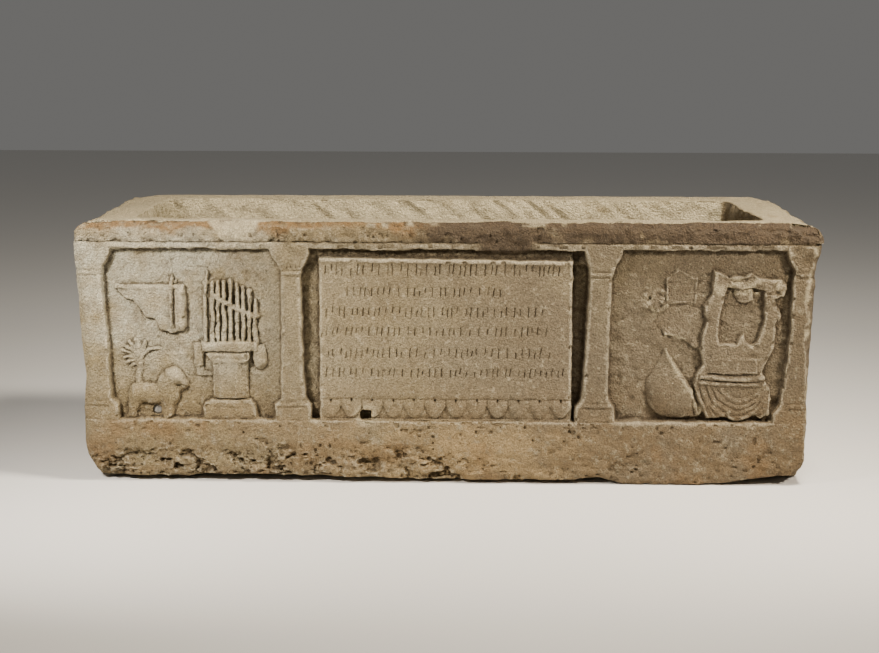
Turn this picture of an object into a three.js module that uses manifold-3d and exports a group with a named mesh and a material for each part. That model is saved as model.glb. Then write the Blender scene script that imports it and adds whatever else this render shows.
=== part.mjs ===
// A Roman limestone sarcophagus: an open trough hollowed from one block, its front carved in relief.
// Millimetres, +X along the front to the right, +Y to the back, +Z up.
// The origin is under the middle of the trough. The front faces -Y.
import * as THREE from "three";
import { mergeVertices } from "three/addons/utils/BufferGeometryUtils.js";
import Module from "manifold-3d";

const wasm = await Module();
wasm.setup();

// The block and its walls
const LENGTH = 2130;
const WIDTH = 830;
const HEIGHT = 760;
const FRONT_WALL = 115;
const BACK_WALL = 135;
const END_WALL = 160;
const FLOOR_THICKNESS = 180;
const CAVITY_CORNER_RADIUS = 30;

// How far each end draws in below the rim band
const LEFT_END_DRAW = 20;
const RIGHT_END_DRAW = 30;

// The bands of the front, from the rim down
const RIM_BAND = 62;
const FILLET_HEIGHT = 20;
const PLINTH_HEIGHT = 186;
const FILLET_FACE = 6;
const PANEL_DEPTH = 36;
const SIDE_GAP_DEPTH = 50;

// The pilasters
const CAPITAL_WIDTH = 108;
const CAPITAL_HEIGHT = 66;
const SHAFT_WIDTH_TOP = 56;
const SHAFT_WIDTH_FOOT = 72;
const BASE_WIDTH = 104;
const BASE_HEIGHT = 34;
const BASE_SLOPE_HEIGHT = 22;
const PILASTER_FACE = 5;
const PILASTER_LINE = 4;
const END_PILASTER_INSET = 58;

// The inscribed plaque and its row of tongues
const PLAQUE_LENGTH = 720;
const PLAQUE_CENTRE = -5;
const PLAQUE_TOP_GAP = 24;
const PLAQUE_FACE = 10;
const PLAQUE_LIP = 10;
const PILASTER_TO_PLAQUE = 83;
const TONGUE_ROW_HEIGHT = 54;
const TONGUE_MARGIN = 7;
const TONGUE_COUNT = 12;
const TONGUE_NOTCH_DEPTH = 9;
const STROKE_ROWS = 6;
const STROKE_HEIGHT = 28;
const STROKE_WIDTH = 7;
const STROKE_PITCH = 32;
const STROKE_DEPTH = 3;

// The two holes through the front wall, just above the cavity's floor
const SQUARE_HOLE_WIDTH = 34;
const SQUARE_HOLE_HEIGHT = 30;
const SQUARE_HOLE_FROM_PLAQUE_EDGE = 130;
const ROUND_HOLE_DIAMETER = 29;
const ROUND_HOLE_FROM_PANEL_CENTRE = -110;
const HOLE_ABOVE_FLOOR = 5;
const PLUG_CLEARANCE = 0.4;
const PLUG_SUNK = 7;
const PLUG_SHORT = 4;

// The carved figures: the room above each tall one, and each small one's own size
const ORGAN_HEADROOM = 65;
const LYRE_HEADROOM = 59;
const LUTE_LENGTH = 196;
const RAM_HEIGHT = 158;
const PALM_HEIGHT = 238;
const CASE_HEIGHT = 142;
const CASE_DROP = 98;
const TABLET_HEIGHT = 98;
const TABLET_DROP = 54;

// Where each figure stands, from the middle of its panel
const ORGAN_PLACE = 105;
const RAM_PLACE = -110;
const PALM_PLACE = -161;
const CASE_PLACE = -119;
const LYRE_PLACE = 110;
const LUTE_PLACE = -82;
const TABLET_PLACE = -59;
const LUMP_PLACE = -140;

// Heights and places that follow from the sizes above
const FRONT = -WIDTH / 2;
const RIM_BAND_FOOT = HEIGHT - RIM_BAND;
const PANEL_TOP = RIM_BAND_FOOT - FILLET_HEIGHT;
const PANEL_HEIGHT = PANEL_TOP - PLINTH_HEIGHT;
const PLAQUE_LEFT = PLAQUE_CENTRE - PLAQUE_LENGTH / 2;
const PLAQUE_RIGHT = PLAQUE_CENTRE + PLAQUE_LENGTH / 2;
const PLAQUE_TOP = PANEL_TOP - PLAQUE_TOP_GAP;
const PILASTERS = [
  -LENGTH / 2 + END_PILASTER_INSET,
  PLAQUE_LEFT - PILASTER_TO_PLAQUE,
  PLAQUE_RIGHT + PILASTER_TO_PLAQUE,
  LENGTH / 2 - END_PILASTER_INSET,
];
const LEFT_PANEL_CENTRE = (PILASTERS[0] + PILASTERS[1]) / 2;
const RIGHT_PANEL_CENTRE = (PILASTERS[2] + PILASTERS[3]) / 2;
const HOLE_FOOT = FLOOR_THICKNESS + HOLE_ABOVE_FLOOR;

// How far a cut runs past a face, and how far a carved form is rooted in the stone behind it
const OVERRUN = 20;
const ROOT = 12;

const limestone = new THREE.MeshStandardMaterial({ color: 0xb8a78c, roughness: 0.9, metalness: 0 });
const lead = new THREE.MeshStandardMaterial({ color: 0x77767a, roughness: 0.6, metalness: 0.9 });

// Solids: turning three.js geometry into closed bodies that can be joined and cut

function solidFrom(geometry) {
  geometry.deleteAttribute("normal");
  geometry.deleteAttribute("uv");
  const merged = mergeVertices(geometry, 1e-3);
  const mesh = new wasm.Mesh({
    numProp: 3,
    vertProperties: new Float32Array(merged.attributes.position.array),
    triVerts: new Uint32Array(merged.index.array),
  });
  return new wasm.Manifold(mesh);
}

function geometryFrom(solid) {
  const mesh = solid.getMesh();
  const geometry = new THREE.BufferGeometry();
  geometry.setAttribute("position", new THREE.BufferAttribute(mesh.vertProperties, 3));
  geometry.setIndex(new THREE.BufferAttribute(mesh.triVerts, 1));
  geometry.computeVertexNormals();
  return geometry;
}

function joined(solids) {
  return solids.reduce((whole, solid) => whole.add(solid));
}

function box(x0, x1, y0, y1, z0, z1) {
  const geometry = new THREE.BoxGeometry(x1 - x0, y1 - y0, z1 - z0);
  geometry.translate((x0 + x1) / 2, (y0 + y1) / 2, (z0 + z1) / 2);
  return solidFrom(geometry);
}

// A form standing out of the front: its outline in x and z, its face and its root given as depths
// behind the trough's foremost plane. A slope draws the face in from the outline all round.
function relief(outline, face, root, slope = 0) {
  const shape = new THREE.Shape(outline.map(([x, z]) => new THREE.Vector2(x, z)));
  const rise = slope > 0 ? Math.min(slope, root - face - 1) : 0;
  const geometry = new THREE.ExtrudeGeometry(shape, {
    depth: root - face - rise,
    bevelEnabled: slope > 0,
    bevelThickness: rise,
    bevelSize: slope,
    bevelOffset: -slope,
    bevelSegments: 1,
    curveSegments: 1,
  });
  geometry.rotateX(Math.PI / 2);
  geometry.translate(0, FRONT + root, 0);
  return solidFrom(geometry);
}

function rectangle(x0, x1, z0, z1) {
  return [[x0, z0], [x1, z0], [x1, z1], [x0, z1]];
}

// A smooth outline through a few points, closed
function smooth(points, steps) {
  const path = new THREE.CatmullRomCurve3(points.map(([x, z]) => new THREE.Vector3(x, z, 0)), true);
  return path.getPoints(steps).slice(0, -1).map((p) => [p.x, p.y]);
}

// A swelling form: an ellipsoid whose centre lies at a depth behind the foremost plane
function swelling(x, z, radiusX, radiusZ, radiusDeep, centreDepth, turn = 0) {
  const geometry = new THREE.SphereGeometry(1, 12, 8);
  geometry.rotateX(Math.PI / 2);
  geometry.scale(radiusX, radiusDeep, radiusZ);
  geometry.rotateY(turn);
  geometry.translate(x, FRONT + centreDepth, z);
  return solidFrom(geometry);
}

// An upright form with the same plan all the way up: the plan in x and depth, its foot and its top
function upright(plan, foot, top) {
  const shape = new THREE.Shape(plan.map(([x, depth]) => new THREE.Vector2(x, FRONT + depth)));
  const geometry = new THREE.ExtrudeGeometry(shape, { depth: top - foot, bevelEnabled: false });
  geometry.translate(0, 0, foot);
  return solidFrom(geometry);
}

// A round bar in the plane of the front, from one point to another
function bar(from, to, radius, axisDepth, sides = 8) {
  const start = new THREE.Vector3(from[0], FRONT + axisDepth, from[1]);
  const end = new THREE.Vector3(to[0], FRONT + axisDepth, to[1]);
  const along = end.clone().sub(start);
  const geometry = new THREE.CylinderGeometry(radius, radius, along.length(), sides);
  const turn = new THREE.Quaternion().setFromUnitVectors(new THREE.Vector3(0, 1, 0), along.normalize());
  geometry.applyQuaternion(turn);
  geometry.translate((start.x + end.x) / 2, start.y, (start.z + end.z) / 2);
  return solidFrom(geometry);
}

// A raised ridge that follows a curve across the front
function ridge(points, radius, axisDepth, steps = 10) {
  const path = new THREE.CatmullRomCurve3(points.map(([x, z]) => new THREE.Vector3(x, FRONT + axisDepth, z)));
  const section = new THREE.Shape();
  const sides = 6;
  for (let i = 0; i < sides; i += 1) {
    const angle = (2 * Math.PI * i) / sides;
    const corner = [radius * Math.cos(angle), radius * Math.sin(angle)];
    if (i === 0) {
      section.moveTo(...corner);
    } else {
      section.lineTo(...corner);
    }
  }
  section.closePath();
  return solidFrom(new THREE.ExtrudeGeometry(section, { steps, extrudePath: path, bevelEnabled: false }));
}

// A broken place: a rough rounded lump to take out of an edge, always the same for the same seed
function chip(x, y, z, radiusX, radiusY, radiusZ, seed) {
  const geometry = new THREE.IcosahedronGeometry(1, 1);
  geometry.deleteAttribute("normal");
  geometry.deleteAttribute("uv");
  const rough = mergeVertices(geometry, 1e-3);
  const place = rough.attributes.position;
  for (let i = 0; i < place.count; i += 1) {
    const noise = Math.sin(12.9898 * (i + 1) + 78.233 * seed) * 43758.5453;
    const size = 0.82 + 0.3 * (noise - Math.floor(noise));
    place.setXYZ(i, place.getX(i) * size, place.getY(i) * size, place.getZ(i) * size);
  }
  rough.scale(radiusX, radiusY, radiusZ);
  rough.translate(x, y, z);
  return solidFrom(rough);
}

// Points drawn for a figure of one height, set down at its place and scaled to the height it has
function placed(points, drawnHeight, height, x, z) {
  const scale = height / drawnHeight;
  return points.map(([px, pz]) => [x + px * scale, z + pz * scale]);
}

// The block, its cavity and its worn ends

function block() {
  return box(-LENGTH / 2, LENGTH / 2, -WIDTH / 2, WIDTH / 2, 0, HEIGHT);
}

function cavity() {
  const halfLength = LENGTH / 2 - END_WALL;
  const front = FRONT + FRONT_WALL;
  const back = -FRONT - BACK_WALL;
  const r = CAVITY_CORNER_RADIUS;
  const shape = new THREE.Shape();
  shape.moveTo(-halfLength + r, front);
  shape.lineTo(halfLength - r, front);
  shape.absarc(halfLength - r, front + r, r, -Math.PI / 2, 0);
  shape.lineTo(halfLength, back - r);
  shape.absarc(halfLength - r, back - r, r, 0, Math.PI / 2);
  shape.lineTo(-halfLength + r, back);
  shape.absarc(-halfLength + r, back - r, r, Math.PI / 2, Math.PI);
  shape.lineTo(-halfLength, front + r);
  shape.absarc(-halfLength + r, front + r, r, Math.PI, 1.5 * Math.PI);
  const depth = HEIGHT - FLOOR_THICKNESS + OVERRUN;
  const geometry = new THREE.ExtrudeGeometry(shape, { depth, bevelEnabled: false, curveSegments: 3 });
  geometry.translate(0, 0, FLOOR_THICKNESS);
  return solidFrom(geometry);
}

// What is worn from an end below the rim band, deepest near mid-height
function wornEnd(side, draw) {
  const edge = LENGTH / 2;
  const outline = [
    [edge + OVERRUN, -OVERRUN],
    [edge - draw, -OVERRUN],
    [edge - draw, PLINTH_HEIGHT],
    [edge - draw, PLINTH_HEIGHT + 0.3 * PANEL_HEIGHT],
    [edge - 0.6 * draw, PLINTH_HEIGHT + 0.8 * PANEL_HEIGHT],
    [edge - 0.5 * draw, PANEL_TOP - 10],
    [edge + OVERRUN, RIM_BAND_FOOT],
  ].map(([x, z]) => [side * x, z]);
  if (side < 0) {
    outline.reverse();
  }
  return relief(outline, -OVERRUN, WIDTH + OVERRUN);
}

// The recessed panels and the fillet above them

function recesses() {
  const left = -LENGTH / 2 - OVERRUN;
  const right = LENGTH / 2 + OVERRUN;
  return [
    relief(rectangle(left, PLAQUE_RIGHT + 1, PLINTH_HEIGHT, PANEL_TOP), -OVERRUN, PANEL_DEPTH),
    relief(rectangle(PLAQUE_RIGHT, PILASTERS[2], PLINTH_HEIGHT, PANEL_TOP), -OVERRUN, SIDE_GAP_DEPTH),
    relief(rectangle(PILASTERS[2] - 1, right, PLINTH_HEIGHT, PANEL_TOP), -OVERRUN, PANEL_DEPTH),
    relief(rectangle(left, right, PANEL_TOP - 1, RIM_BAND_FOOT), -OVERRUN, FILLET_FACE),
  ];
}

// A pilaster: a flaring capital, a shaft that widens downward, and a base on a plain foot.
// An end pilaster runs out to the trough's corner on its outer side.
function pilaster(centre, outerSide) {
  const capitalFoot = PANEL_TOP - CAPITAL_HEIGHT;
  const baseTop = PLINTH_HEIGHT + BASE_HEIGHT;
  const shaftFoot = baseTop + BASE_SLOPE_HEIGHT;
  const profile = [
    [BASE_WIDTH / 2, PLINTH_HEIGHT - ROOT],
    [BASE_WIDTH / 2, baseTop],
    [SHAFT_WIDTH_FOOT / 2, shaftFoot],
    [SHAFT_WIDTH_TOP / 2, capitalFoot - 4],
    [SHAFT_WIDTH_TOP / 2 + 5, capitalFoot],
    [SHAFT_WIDTH_TOP / 2 + 8, capitalFoot + 0.4 * CAPITAL_HEIGHT],
    [CAPITAL_WIDTH / 2 - 6, capitalFoot + 0.8 * CAPITAL_HEIGHT],
    [CAPITAL_WIDTH / 2, PANEL_TOP + ROOT / 2],
  ];
  const corner = LENGTH / 2 - Math.max(LEFT_END_DRAW, RIGHT_END_DRAW) - PILASTER_FACE;
  const rightSide = outerSide > 0
    ? profile.map(([, z]) => [Math.max(corner, centre), z])
    : profile.map(([x, z]) => [centre + x, z]);
  const leftSide = outerSide < 0
    ? profile.map(([, z]) => [Math.min(-corner, centre), z])
    : profile.map(([x, z]) => [centre - x, z]);
  return relief([...rightSide, ...leftSide.reverse()], PILASTER_FACE, PANEL_DEPTH + SIDE_GAP_DEPTH);
}

// The incised lines under a capital and above a base
function pilasterLines(centre) {
  const half = SHAFT_WIDTH_TOP / 2 - PILASTER_LINE;
  const heights = [PANEL_TOP - CAPITAL_HEIGHT, PLINTH_HEIGHT + BASE_HEIGHT];
  return heights.map((z) => relief(
    rectangle(centre - half, centre + half, z - PILASTER_LINE, z), -OVERRUN, PILASTER_FACE + PILASTER_LINE));
}

// The plaque: a plain field with a lip along its top and, below, a row of tongues

function plaque() {
  const root = PANEL_DEPTH + ROOT;
  const field = relief(
    rectangle(PLAQUE_LEFT, PLAQUE_RIGHT, PLINTH_HEIGHT - ROOT, PLAQUE_TOP), PLAQUE_FACE, root);
  const lip = relief(
    rectangle(PLAQUE_LEFT, PLAQUE_RIGHT, PLAQUE_TOP - PLAQUE_LIP, PLAQUE_TOP), PLAQUE_FACE - 4, root);
  return field.add(lip);
}

function tongueNotches() {
  const pitch = PLAQUE_LENGTH / TONGUE_COUNT;
  const foot = PLINTH_HEIGHT + TONGUE_MARGIN;
  const notches = [];
  for (let i = 0; i <= TONGUE_COUNT; i += 1) {
    const x = PLAQUE_LEFT + i * pitch;
    const outline = [
      [x - 0.42 * pitch, foot],
      [x + 0.42 * pitch, foot],
      [x + 0.13 * pitch, foot + 0.35 * TONGUE_ROW_HEIGHT],
      [x, foot + 0.7 * TONGUE_ROW_HEIGHT],
      [x - 0.13 * pitch, foot + 0.35 * TONGUE_ROW_HEIGHT],
    ];
    const clipped = outline.map(([px, pz]) => [
      THREE.MathUtils.clamp(px, PLAQUE_LEFT + 3, PLAQUE_RIGHT - 3), pz]);
    const whole = i > 0 && i < TONGUE_COUNT;
    notches.push(relief(whole ? outline : halfNotch(clipped, i === 0), -OVERRUN, PLAQUE_FACE + TONGUE_NOTCH_DEPTH));
  }
  return notches;
}

// The notch at an end of the row is only the half that lies on the plaque
function halfNotch(outline, atLeft) {
  const [footLeft, footRight, right, top, left] = outline;
  return atLeft ? [[top[0], footLeft[1]], footRight, right, top] : [footLeft, [top[0], footRight[1]], top, left];
}

// Rows of short cuts stand where the inscription is: upright and slanting strokes that spell nothing
function strokes() {
  const cuts = [];
  const fieldFoot = PLINTH_HEIGHT + TONGUE_MARGIN + TONGUE_ROW_HEIGHT;
  const fieldTop = PLAQUE_TOP - PLAQUE_LIP;
  const rowPitch = (fieldTop - fieldFoot) / (STROKE_ROWS + 0.9);
  const perRow = Math.floor((PLAQUE_LENGTH - STROKE_PITCH) / STROKE_PITCH);
  const rowStart = [0, 1, 0, 0, 0, 0];
  const rowEnd = [0, 4, 1, 1, 1, 0];
  for (let row = 0; row < STROKE_ROWS; row += 1) {
    const foot = fieldTop - (row + 1) * rowPitch + 0.3 * STROKE_HEIGHT;
    const first = rowStart[row % rowStart.length];
    const last = perRow - rowEnd[row % rowEnd.length];
    for (let i = first; i < last; i += 1) {
      const x = PLAQUE_LEFT + (i + 0.8) * STROKE_PITCH;
      const lean = ((i * 5 + row * 3) % 4) * 4 - 6;
      const high = STROKE_HEIGHT * (1 - 0.12 * ((i * 3 + row) % 3));
      const outline = [[x, foot], [x + STROKE_WIDTH, foot], [x + lean + STROKE_WIDTH / 2, foot + high]];
      cuts.push(relief(outline, -OVERRUN, PLAQUE_FACE + STROKE_DEPTH));
    }
  }
  return cuts;
}

// Left panel: a portable organ on its pedestal

function organ() {
  const height = PANEL_HEIGHT - ORGAN_HEADROOM;
  const s = height / 427;
  const x = LEFT_PANEL_CENTRE + ORGAN_PLACE;
  const z = PLINTH_HEIGHT;
  const root = PANEL_DEPTH + ROOT;
  const at = (x0, x1, z0, z1) => rectangle(x + x0 * s, x + x1 * s, z + z0 * s, z + z1 * s);
  const shaftPlan = [[-51, root], [-51, 26], [-29, 16], [17, 16], [49, 27], [49, root]]
    .map(([px, depth]) => [x + px * s, depth]);
  const pieces = [
    relief(at(-77, 73, -6, 36), 12, root),
    relief(at(-58, 65, 35, 63), 15, root, 4),
    upright(shaftPlan, z + 61 * s, z + 170 * s),
    relief(at(-67, 52, 168, 192), 12, root, 5),
    relief(at(-77, 78, 196, 223), 13, root, 3),
    relief(at(-60, 60, 190, 198), 20, root),
  ];
  const tops = [401, 407, 409, 409, 391, 382, 370, 348];
  const firstPipe = -49;
  const pipePitch = 17.6;
  tops.forEach((top, i) => {
    const px = x + (firstPipe + i * pipePitch) * s;
    pieces.push(bar([px, z + 218 * s], [px, z + top * s], 6.4 * s, PANEL_DEPTH - 8));
  });
  pieces.push(bar([x - 68 * s, z + 218 * s], [x - 68 * s, z + 400 * s], 9 * s, PANEL_DEPTH - 6));
  pieces.push(bar([x - 59 * s, z + 380 * s], [x - 58 * s, z + 427 * s], 6 * s, PANEL_DEPTH - 5));
  pieces.push(ridge(placed([[-45, 363], [18, 328], [70, 304]], 427, height, x, z), 7 * s, PANEL_DEPTH - 15, 2));
  pieces.push(bar([x - 91 * s, z + 154 * s], [x - 91 * s, z + 216 * s], 13 * s, PANEL_DEPTH - 3));
  pieces.push(relief(at(-94, -50, 122, 134), PANEL_DEPTH - 12, root));
  pieces.push(relief(at(-94, -80, 130, 156), PANEL_DEPTH - 10, root));
  pieces.push(swelling(x + 87 * s, z + 176 * s, 21 * s, 31 * s, 20, PANEL_DEPTH));
  return pieces;
}

// Left panel: a flat case with a rod through it, its lower edge stepped

function hangingCase() {
  const s = CASE_HEIGHT / 142;
  const x = LEFT_PANEL_CENTRE + CASE_PLACE;
  const z = PANEL_TOP - CASE_DROP;
  const root = PANEL_DEPTH + ROOT;
  const outline = [
    [-104, -2], [-104, -6], [-85, -33], [-48, -49], [-30, -75], [-11, -92],
    [11, -102], [24, -134], [51, -142], [101, -136], [104, -8], [99, 0],
  ];
  const at = (x0, x1, z0, z1) => rectangle(x + x0 * s, x + x1 * s, z + z0 * s, z + z1 * s);
  const slab = placed(outline, 142, CASE_HEIGHT, x, z).reverse();
  return [
    relief(slab, PANEL_DEPTH - 8, root),
    relief(at(-104, 99, -8, 2), PANEL_DEPTH - 12, root),
    relief(at(70, 104, -136, -7), PANEL_DEPTH - 20, root, 4),
    relief(at(50, 60, -138, 41), PANEL_DEPTH - 13, root),
    swelling(x + 56 * s, z + 52 * s, 6 * s, 14 * s, 8, PANEL_DEPTH),
  ];
}

// Left panel: a palm behind the ram

function palm() {
  const x = LEFT_PANEL_CENTRE + PALM_PLACE;
  const z = PLINTH_HEIGHT;
  const crown = [3, 204];
  const tips = [[62, 211], [20, 226], [-12, 236], [-31, 235], [-48, 212], [-50, 200], [-44, 178], [-20, 153]];
  const drawn = 238;
  const [foot, head] = placed([[-2, 96], crown], drawn, PALM_HEIGHT, x, z);
  const s = PALM_HEIGHT / drawn;
  const fronds = tips.map((tip) => {
    const middle = [(crown[0] + tip[0]) / 2, (crown[1] + tip[1]) / 2 + 5];
    const path = placed([[crown[0], crown[1] - 6], middle, tip], drawn, PALM_HEIGHT, x, z);
    return ridge(path, 6.5 * s, PANEL_DEPTH - 3, 3);
  });
  return [bar(foot, head, 9.5 * s, PANEL_DEPTH - 2), ...fronds];
}

// Left panel: a ram that stands facing right

function ram() {
  const x = LEFT_PANEL_CENTRE + RAM_PLACE;
  const z = PLINTH_HEIGHT;
  const s = RAM_HEIGHT / 158;
  const body = (px, pz, rx, rz, deep, turn = 0) =>
    swelling(x + px * s, z + pz * s, rx * s, rz * s, deep * s, PANEL_DEPTH, turn);
  const leg = (px, top, foot, lean) => relief(
    placed([[px - 9, foot], [px + 9, foot], [px + 12 + lean, top], [px - 12 + lean, top]], 158, RAM_HEIGHT, x, z),
    PANEL_DEPTH - 16, PANEL_DEPTH + ROOT, 4);
  return [
    body(-25, 84, 62, 30, 25),
    body(-50, 82, 32, 34, 24),
    body(22, 90, 34, 36, 27),
    body(52, 122, 36, 33, 29, 0.5),
    body(72, 102, 24, 17, 20, 0.6),
    body(50, 96, 24, 13, 26, 0.9),
    leg(-68, 70, -4, 4),
    leg(-48, 70, -4, 0),
    leg(22, 70, -4, 2),
    leg(44, 74, -4, -2),
  ];
}

// Right panel: a lyre with drapery over its foot

function lyre() {
  const height = PANEL_HEIGHT - LYRE_HEADROOM;
  const drawn = 433;
  const s = height / drawn;
  const x = RIGHT_PANEL_CENTRE + LYRE_PLACE;
  const z = PLINTH_HEIGHT;
  const root = PANEL_DEPTH + ROOT;
  const face = 15;
  const at = (points) => placed(points, drawn, height, x, z);
  const outer = at([
    [-92, 6], [-78, 12], [-50, 12], [0, 2], [30, 12], [48, 22], [70, 8], [88, 18], [90, 70], [84, 98],
    [66, 112], [64, 144], [74, 170], [95, 212], [98, 270], [94, 290], [107, 314], [96, 334], [93, 356],
    [120, 368], [104, 408], [60, 412], [20, 424], [-20, 408], [-50, 433], [-80, 433], [-83, 396], [-85, 362],
    [-105, 336], [-104, 306], [-92, 286], [-110, 250], [-113, 236], [-108, 166], [-124, 134], [-130, 104],
    [-121, 76], [-104, 34],
  ]);
  const opening = at([
    [-60, 227], [-24, 228], [-16, 222], [6, 250], [12, 240], [29, 220], [44, 230], [58, 268], [64, 298],
    [62, 378], [30, 384], [-10, 396], [-40, 390], [-52, 348], [-61, 310], [-64, 248],
  ]);
  const lump = at([[-18, 344], [30, 344], [28, 392], [-14, 400]]);
  const tail = at([[-90, 140], [48, 138], [50, 182], [-88, 186]]);
  const pieces = [relief(outer, face, root, 5).subtract(relief(opening, -OVERRUN, PANEL_DEPTH - 3))];
  pieces.push(relief(lump, PANEL_DEPTH - 12, root, 4));
  pieces.push(relief(tail, face - 4, root, 2));
  const rolls = [[125, 111], [108, 96]];
  rolls.forEach(([leftHigh, rightHigh], i) => {
    const [from, to] = at([[-103 - 3 * i, leftHigh], [68, rightHigh + 4]]);
    pieces.push(bar(from, to, 8 * s, face + 1));
  });
  const folds = 3;
  for (let i = 0; i < folds; i += 1) {
    const inset = 15 * i;
    const swag = at([
      [-100 + inset, 96], [-74 + 0.9 * inset, 46 + 0.7 * inset], [-6, 14 + 1.5 * inset],
      [38 - 0.6 * inset, 42 + 0.9 * inset], [70 - 0.9 * inset, 94 - 0.2 * inset],
    ]);
    pieces.push(ridge(swag, 6 * s, face + 1, 8));
  }
  pieces.push(ridge(at([[-122, 96], [-112, 60], [-92, 14]]), 7 * s, face + 4, 4));
  pieces.push(ridge(at([[76, 104], [82, 60], [80, 18]]), 8 * s, face + 4, 4));
  return pieces;
}

// Right panel: a lute on its back, broken along one side, with its long neck only a faint swell

function lute() {
  const x = RIGHT_PANEL_CENTRE + LUTE_PLACE;
  const z = PLINTH_HEIGHT;
  const drawn = 196;
  const root = PANEL_DEPTH + ROOT;
  const pear = smooth(placed([
    [-21, 205], [-32, 166], [-60, 116], [-66, 86], [-60, 54], [-44, 26], [-10, 7], [40, 6], [60, 10],
    [96, 28], [82, 60], [52, 96], [26, 142], [8, 172],
  ], drawn, LUTE_LENGTH, x, z), 26);
  const s = LUTE_LENGTH / drawn;
  const neck = placed([[-20, 200], [-42, 258], [-72, 330], [-112, 384]], drawn, LUTE_LENGTH, x, z);
  return [
    relief(pear, PANEL_DEPTH - 16, root, 7),
    swelling(x - 6 * s, z + 82 * s, 50 * s, 68 * s, 22, PANEL_DEPTH, 0.25),
    ridge(neck, 12 * s, PANEL_DEPTH + 7, 6),
  ];
}

// Right panel: a small gabled tablet and a worn lump beside it

function tablet() {
  const x = RIGHT_PANEL_CENTRE + TABLET_PLACE;
  const z = PANEL_TOP - TABLET_DROP - TABLET_HEIGHT;
  const outline = placed([[-40, 0], [40, 3], [40, 68], [-6, 98], [-44, 66]], 98, TABLET_HEIGHT, x, z);
  const lump = swelling(RIGHT_PANEL_CENTRE + LUMP_PLACE, z, 30, 38, 13, PANEL_DEPTH, 0.4);
  return [relief(outline, PANEL_DEPTH - 5, PANEL_DEPTH + ROOT, 3), lump];
}

// The holes through the front wall and the plug in the round one

const HOLE_CENTRE = {
  square: [PLAQUE_LEFT + SQUARE_HOLE_FROM_PLAQUE_EDGE, HOLE_FOOT + SQUARE_HOLE_HEIGHT / 2],
  round: [LEFT_PANEL_CENTRE + ROUND_HOLE_FROM_PANEL_CENTRE, HOLE_FOOT + 8 + ROUND_HOLE_DIAMETER / 2],
};

function squareHole() {
  const [x, z] = HOLE_CENTRE.square;
  const outline = rectangle(
    x - SQUARE_HOLE_WIDTH / 2, x + SQUARE_HOLE_WIDTH / 2, z - SQUARE_HOLE_HEIGHT / 2, z + SQUARE_HOLE_HEIGHT / 2);
  return relief(outline, -OVERRUN, FRONT_WALL + OVERRUN);
}

function roundHole(radius, fromDepth, toDepth) {
  const [x, z] = HOLE_CENTRE.round;
  const geometry = new THREE.CylinderGeometry(radius, radius, toDepth - fromDepth, 16);
  geometry.translate(x, FRONT + (fromDepth + toDepth) / 2, z);
  return geometry;
}

// The broken places: along the rim, at the corners and along the foot

function brokenPlaces() {
  const right = LENGTH / 2;
  const left = -LENGTH / 2;
  const foot = [
    chip(left - 10, FRONT - 10, -12, 150, 200, 95, 1),
    chip(left + 110, FRONT - 8, -14, 120, 110, 40, 2),
    chip(right - 4, FRONT - 10, -4, 110, 170, 82, 3),
    chip(right - 130, FRONT - 8, -14, 120, 110, 34, 4),
  ];
  const corners = [
    chip(right + 6, FRONT - 6, HEIGHT + 12, 60, 90, 46, 5),
    chip(left - 8, FRONT - 8, HEIGHT + 14, 58, 90, 46, 6),
    chip(left - 14, -FRONT - 60, HEIGHT + 12, 60, 150, 40, 7),
    chip(right + 14, -FRONT - 40, HEIGHT + 12, 56, 170, 40, 8),
    chip(right + 12, FRONT + 4, PANEL_TOP - 26, 40, 60, 40, 9),
  ];
  const patch = chip(0.285 * left - 300, FRONT - 14, HEIGHT - 8, 74, 28, 48, 10);
  const filletBreak = chip(168, FRONT - 8, PANEL_TOP + 8, 86, 26, 30, 11);
  const edges = [];
  const along = 13;
  for (let i = 0; i < along; i += 1) {
    const x = left + (LENGTH * (i + 0.5)) / along;
    const sway = Math.sin(7.3 * i + 1);
    edges.push(chip(x + 30 * sway, FRONT - 12, HEIGHT + 10, 70, 24 + 5 * sway, 19 + 5 * sway, 20 + i));
    if (i % 3 === 1) {
      edges.push(chip(x - 20 * sway, FRONT - 10, -12, 90, 28, 22 + 6 * sway, 40 + i));
    }
  }
  return [...foot, ...corners, patch, filletBreak, ...edges];
}

function trough() {
  const carved = joined([
    ...PILASTERS.map((centre, i) => pilaster(centre, i === 0 ? -1 : Number(i === PILASTERS.length - 1))),
    plaque().subtract(joined([...tongueNotches(), ...strokes()])),
    ...organ(), ...hangingCase(), ...palm(), ...ram(),
    ...lyre(), ...lute(), ...tablet(),
  ]);
  const within = box(
    -LENGTH / 2, LENGTH / 2, FRONT, FRONT + FRONT_WALL - ROOT / 4, PLINTH_HEIGHT - ROOT, RIM_BAND_FOOT - 2);
  const cuts = joined([
    ...PILASTERS.flatMap((centre) => pilasterLines(centre)),
    wornEnd(-1, LEFT_END_DRAW),
    wornEnd(1, RIGHT_END_DRAW),
    cavity(),
    squareHole(),
    solidFrom(roundHole(ROUND_HOLE_DIAMETER / 2, -OVERRUN, FRONT_WALL + OVERRUN)),
    ...brokenPlaces(),
  ]);
  return block().subtract(joined(recesses())).add(carved.intersect(within)).subtract(cuts);
}

function drainPlug() {
  const face = PANEL_DEPTH + PLUG_SUNK;
  return roundHole(ROUND_HOLE_DIAMETER / 2 - PLUG_CLEARANCE, face, FRONT_WALL - PLUG_SHORT);
}

const sarcophagus = new THREE.Group();
const troughMesh = new THREE.Mesh(geometryFrom(trough()), limestone);
troughMesh.name = "trough";
const plugMesh = new THREE.Mesh(drainPlug(), lead);
plugMesh.name = "drain_plug";
sarcophagus.add(troughMesh, plugMesh);

export default sarcophagus;
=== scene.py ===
# The look of a Roman stone sarcophagus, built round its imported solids: the carved trough and its drain plug
import itertools
import math

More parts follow.
